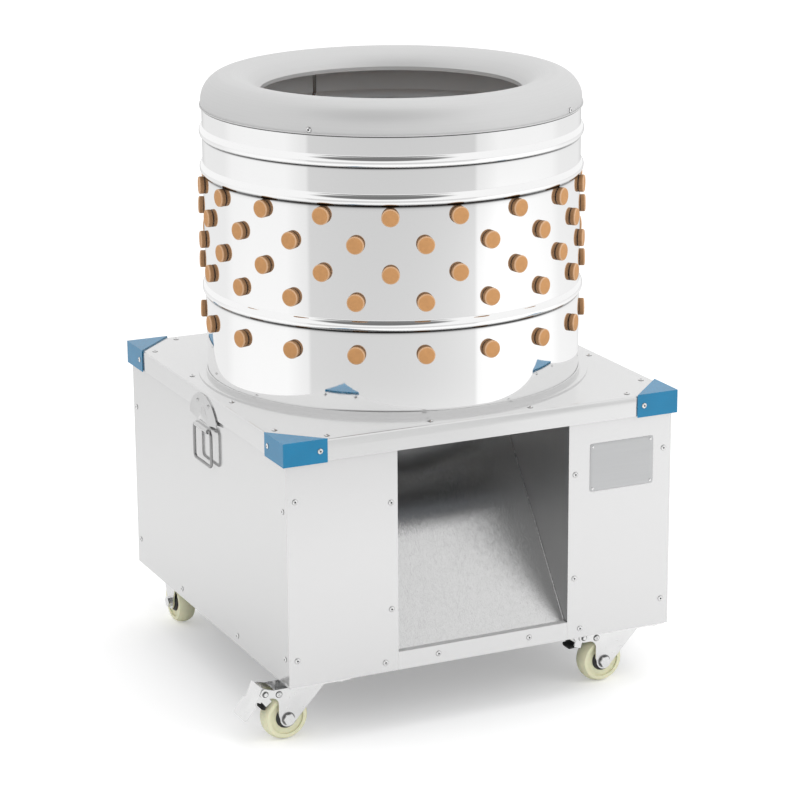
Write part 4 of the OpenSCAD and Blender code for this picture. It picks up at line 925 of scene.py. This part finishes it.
# %% Make the rating plate
def thin_plate(name, middle, half_wide, half_tall, thick, power):
    """Outline x = a * sign(cos) * |cos|^(2/n), z = b * sign(sin) * |sin|^(2/n); each ring scales
    the outline and stands at its own depth in front of the panel."""
    turn = full_turn(96)[:, None]
    rings = np.array([0.0, 1.0, 1.0, 0.994, 0.9, 0.0])[None, :]
    depth = thick * np.array([0.0, 0.0, 0.7, 1.0, 1.0, 1.0])[None, :]
    across = half_wide * np.sign(np.cos(turn)) * np.abs(np.cos(turn)) ** (2 / power)
    up = half_tall * np.sign(np.sin(turn)) * np.abs(np.sin(turn)) ** (2 / power)
    points = np.stack([across * rings, -depth + 0.0 * turn, up * rings], axis=-1)
    faces = grid_faces(len(turn), rings.size, close_rows=True)
    return outward_piece(name, points + np.array(middle), faces)


plate_finish = brushed_sheet(
    "brushed_plate_aluminium", (0.52, 0.525, 0.53), (0.02, 1.0, 1.0), 0.34, 0.46
)
plate_x, plate_z, plate_thick = 0.2405, 0.379, 0.0008
plate_wide, plate_tall = 0.0565, 0.039
fixing_wide, fixing_tall = 0.0515, 0.034
plate_middle = (plate_x, -panel_face, plate_z)
rating_plate = thin_plate(
    "rating_plate", plate_middle, plate_wide, plate_tall, plate_thick, power=30.0
)
dress(rating_plate, plate_finish, "machine")
fixing_places = [
    (plate_x + fixing_wide * i, -panel_face - plate_thick, plate_z + fixing_tall * k)
    for i in ends
    for k in ends
]
turned_copies(
    "plate_fixings", fixing_places, [(0, -1, 0)] * 4,
    [0.0, 0.0024, 0.0022, 0.0013, 0.0], [0.0, 0.0, 0.0005, 0.0009, 0.001],
    16, "machine", finishes["screw_steel"],
)
print("plate", 2 * plate_wide, "by", 2 * plate_tall, "m")

# %% [markdown]
# ## The pressed hump on the handle plates
# The handle plate is stiffened by a hump pressed into it between the rivets and the knuckle.
# A height over a tapered patch describes it well: the patch widens downwards, and the height
# falls to nothing along its edges, so the hump flows out of the flat plate.

# %% Press the humps
hump_low, hump_high, hump_middle = 0.4375, 0.4665, -0.010
plate_out, hump_sink, hump_rows = 0.336, 0.0002, 25


def pressed_hump(name, side):
    """Row u runs from the top to the bottom and column v across; half width = 5 + 17 u mm,
    height = 3.4 mm * sin(pi u)^0.8 * (1 - v^2)^0.9, standing out from the plate's face."""
    down, cross = np.linspace(0.0, 1.0, hump_rows), np.linspace(-1.0, 1.0, hump_rows)
    u, v = np.meshgrid(down, cross, indexing="ij")
    half = 0.005 + 0.017 * u
    rise = 0.0034 * np.sin(math.pi * u) ** 0.8 * np.clip(1.0 - v**2, 0.0, None) ** 0.9
    outward = side * (plate_out - hump_sink + rise)
    level = hump_high + (hump_low - hump_high) * u
    points = np.stack([outward, hump_middle + half * v, level], axis=-1)
    faces = grid_faces(hump_rows, hump_rows)
    if side > 0:
        faces = faces[:, ::-1]
    dress(piece_from(name, points, faces), handle_zinc_shaded_copy, "machine")


pressed_hump("left_handle_hump", -1)
pressed_hump("right_handle_hump", 1)
print("humps pressed on both handle plates")

# %% [markdown]
# ## Welds in the chute
# The chute's floor is welded to its side walls, and each weld catches the light as a thin bright
# line. A small round rod laid along the inner corner, half sunk in both sheets, draws that line.

# %% Weld the chute
def straight_rod(name, start, end, radius, finish, body):
    """Rows run from start to end, where the radius falls to nothing; columns go round the rod."""
    start, end = np.array(start), np.array(end)
    first, second, _ = facing_axes([(end - start) / np.linalg.norm(end - start)])
    share = np.array([0.0, 0.0, 0.01, 0.5, 0.99, 1.0, 1.0])[:, None, None]
    size = radius * np.array([0.0, 0.7, 1.0, 1.0, 1.0, 0.7, 0.0])[:, None, None]
    turn = full_turn(12)[None, :, None]
    points = start + (end - start) * share + size * (first * np.cos(turn) + second * np.sin(turn))
    rod = outward_piece(name, points, grid_faces(share.size, turn.size, close_columns=True))
    dress(rod, finish, body)


chute_slope, chute_half, weld_rise, weld_radius = math.radians(53.6), 0.147, 0.300, 0.0009
foot_y, foot_z = -0.3165, 0.1305
for side, sign in (("left", -1), ("right", 1)):
    low = (sign * chute_half, foot_y, foot_z)
    high = (sign * chute_half, foot_y + weld_rise / math.tan(chute_slope), foot_z + weld_rise)
    straight_rod(
        f"{side}_chute_weld", low, high, weld_radius,
        finishes["screw_steel"], "machine",
    )
print("chute welds", 2)

# %% [markdown]
# ## Bolts and washers on the castor forks
# Each cheek of a front fork carries a stop bolt, a washer under the axle's head and one round the
# pedal's pin. The washers' dark grey is painted shade round the heads. They turn with the fork,
# so they ride on the swivel.

# %% Bolt the forks
castor_at, pin_back, pin_level = 0.276, 0.079, 0.083
axle_back, axle_level = 0.042, 0.0375
stop_back, stop_level = 0.0566, 0.0795
bolt_radii = [0.0, 0.0044, 0.0044, 0.0034, 0.0019, 0.0017, 0.0]
bolt_heights = [0.0, 0.0, 0.0012, 0.0022, 0.0024, 0.0012, 0.0011]
for side, kingpin in (("left", -castor_at), ("right", castor_at)):
    fork_low, fork_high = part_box(f"front_{side}_fork")
    faces, ways = (fork_low.y, fork_high.y), [(0, -1, 0), (0, 1, 0)]
    bolt_places = [(kingpin - stop_back, face, stop_level) for face in faces]
    pin_places = [(kingpin - pin_back, face, pin_level) for face in faces]
    axle_places = [(kingpin - axle_back, face, axle_level) for face in faces]
    swivel = f"front_{side}_swivel"
    turned_copies(
        f"front_{side}_stop_bolts", bolt_places, ways, bolt_radii, bolt_heights,
        24, swivel, finishes["screw_steel"],
    )
    # Dark rings shaped as washers: painted shade round the bolt, pin and axle heads.
    for kind, places, inner, outer in (
        ("stop", bolt_places, 0.0042, 0.0056),
        ("pin", pin_places, 0.0034, 0.0052),
        ("axle", axle_places, 0.0080, 0.0108),
    ):
        turned_copies(
            f"front_{side}_{kind}_shade_rings", places, ways,
            [inner, outer, outer - 0.0003, inner], [0.0, 0.0, 0.0005, 0.0006],
            32, swivel, shade_ring_zinc,
        )
print("fork bolts and shade_rings on both front castors")

# %% [markdown]
# ## Rubber pads of the brakes
# The CAD block is a plain cube with a hollow for the tread. The rubber pad that stands for it is
# a bar bent round the wheel, with rounded edges and ends and small ribs across its back. It is
# drawn in the pressed place and then turned about the pedal's pin to where the pedal rests.

# %% Mould the brake pads
pad_rows, pad_steps, rib_waves = 41, 32, 7
pad_start, pad_sweep = 130.5, 25.5
pad_middle, pad_thick, pad_wide, rib_tall = 0.0414, 0.0030, 0.0128, 0.0004
axle_x, axle_z = 0.037, -0.0455


def rounded(wave):
    """A sine or cosine with fuller shoulders: its sign times the root of its size."""
    return np.sign(wave) * np.abs(wave) ** 0.5


def brake_pad(side, kingpin, lift):
    """Row u runs along the arc about the axle and column v round a rounded bar: radius = middle +
    thick * sin^0.5, across = wide * cos^0.5, both shrunk to nothing at the ends. The axle is
    measured from the pedal's pin, and the whole pad is turned about the pin by lift."""
    u, v = np.linspace(0.0, 1.0, pad_rows)[:, None], full_turn(pad_steps)[None, :]
    arc = np.radians(pad_start + pad_sweep * u)
    size = np.clip(1.0 - np.abs(2 * u - 1.0) ** 12, 0.0, None) ** 0.25
    up = rounded(np.sin(v))
    ribs = rib_tall * np.cos(2 * math.pi * rib_waves * u) * np.clip(up, 0.0, None)
    reach = pad_middle + size * pad_thick * up + size * ribs
    across = size * pad_wide * rounded(np.cos(v))
    x, z = axle_x + reach * np.cos(arc), axle_z + reach * np.sin(arc)
    turned_x = kingpin - pin_back + (x * math.cos(lift) + z * math.sin(lift))
    turned_z = pin_level + (z * math.cos(lift) - x * math.sin(lift))
    points = np.stack([turned_x, -castor_at + across, turned_z], axis=-1)
    faces = grid_faces(pad_rows, pad_steps, close_columns=True)
    pad = outward_piece(f"front_{side}_brake_pad", points, faces)
    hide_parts(f"front_{side}_brake_block")
    dress(pad, finishes["brake_rubber"], f"front_{side}_brake")
    return pad


pedal_travel = math.radians(54.0)
pads = [brake_pad("left", -castor_at, 0.0), brake_pad("right", castor_at, pedal_travel)]
print("pads:", [pad.name for pad in pads])

# %% [markdown]
# ## Hub covers of the wheels
# A dark plastic cover keeps dirt out of each side of a wheel's hub, and it shows as a black
# crescent behind the fork. Its black is partly painted shade, for the gap between fork and wheel.
# It is a dished ring, so its profile is a closed loop off the axis, and every cover rides with its
# own wheel.

# %% Cover the hubs
# Black hub covers: a dark real part, and painted shade in the gap between fork and wheel.
hub_cover_shade_finish = moulded("black_hub_cover_and_painted_shade", (0.02, 0.02, 0.021), 0.5, 0.85, 700.0, 0.00003)
cover_radii = [0.0113, 0.0172, 0.0176, 0.0160, 0.0125, 0.0113]
cover_heights = [0.0112, 0.0112, 0.0120, 0.0138, 0.0150, 0.0150]
wheel_axles = {
    "front_left_roller": ((-castor_at - axle_back, -castor_at, axle_level), (0, 1, 0)),
    "front_right_roller": ((castor_at - axle_back, -castor_at, axle_level), (0, 1, 0)),
    "rear_left_roller": ((-castor_at, castor_at, axle_level), (1, 0, 0)),
    "rear_right_roller": ((castor_at, castor_at, axle_level), (1, 0, 0)),
}
for body, (middle, axle_way) in wheel_axles.items():
    both_ways = [axle_way, tuple(-a for a in axle_way)]
    turned_copies(
        body.replace("roller", "hub_covers"), [middle, middle], both_ways,
        cover_radii, cover_heights, 40, body, hub_cover_shade_finish,
    )
print("hub covers on", len(wheel_axles), "wheels")

# %% [markdown]
# ## Bezels round the push buttons
# Each button sits in a raised plastic bezel that guards it from a knock. The bezel is a ring
# with a rounded top, wide enough for the button's head to sink into it. Four screws hold the lid.

# %% Ring the buttons
switch_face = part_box("switch_box")[1].x
box_y, box_z, lid_wide, lid_tall = 0.130, 0.330, 0.038, 0.063
button_boxes = [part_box(name) for name in ("start_button", "stop_button")]
bezel_places = [(switch_face, box_y, 0.5 * (low.z + high.z)) for low, high in button_boxes]
turned_copies(
    "button_bezels", bezel_places, [(1, 0, 0)] * 2,
    [0.0156, 0.0205, 0.0205, 0.0196, 0.0180, 0.0164, 0.0156],
    [0.0, 0.0, 0.0028, 0.0036, 0.0040, 0.0037, 0.0030],
    48, "machine", finishes["gland_plastic"],
)
lid_places = [(switch_face, box_y + lid_wide * i, box_z + lid_tall * k) for i in ends for k in ends]
turned_copies(
    "lid_screws", lid_places, [(1, 0, 0)] * 4,
    [0.0, 0.0032, 0.0031, 0.0022, 0.0012, 0.0010, 0.0],
    [0.0, 0.0, 0.0008, 0.0014, 0.0015, 0.0009, 0.0008],
    16, "machine", finishes["screw_steel"],
)
print("switch face at x", round(switch_face, 4))
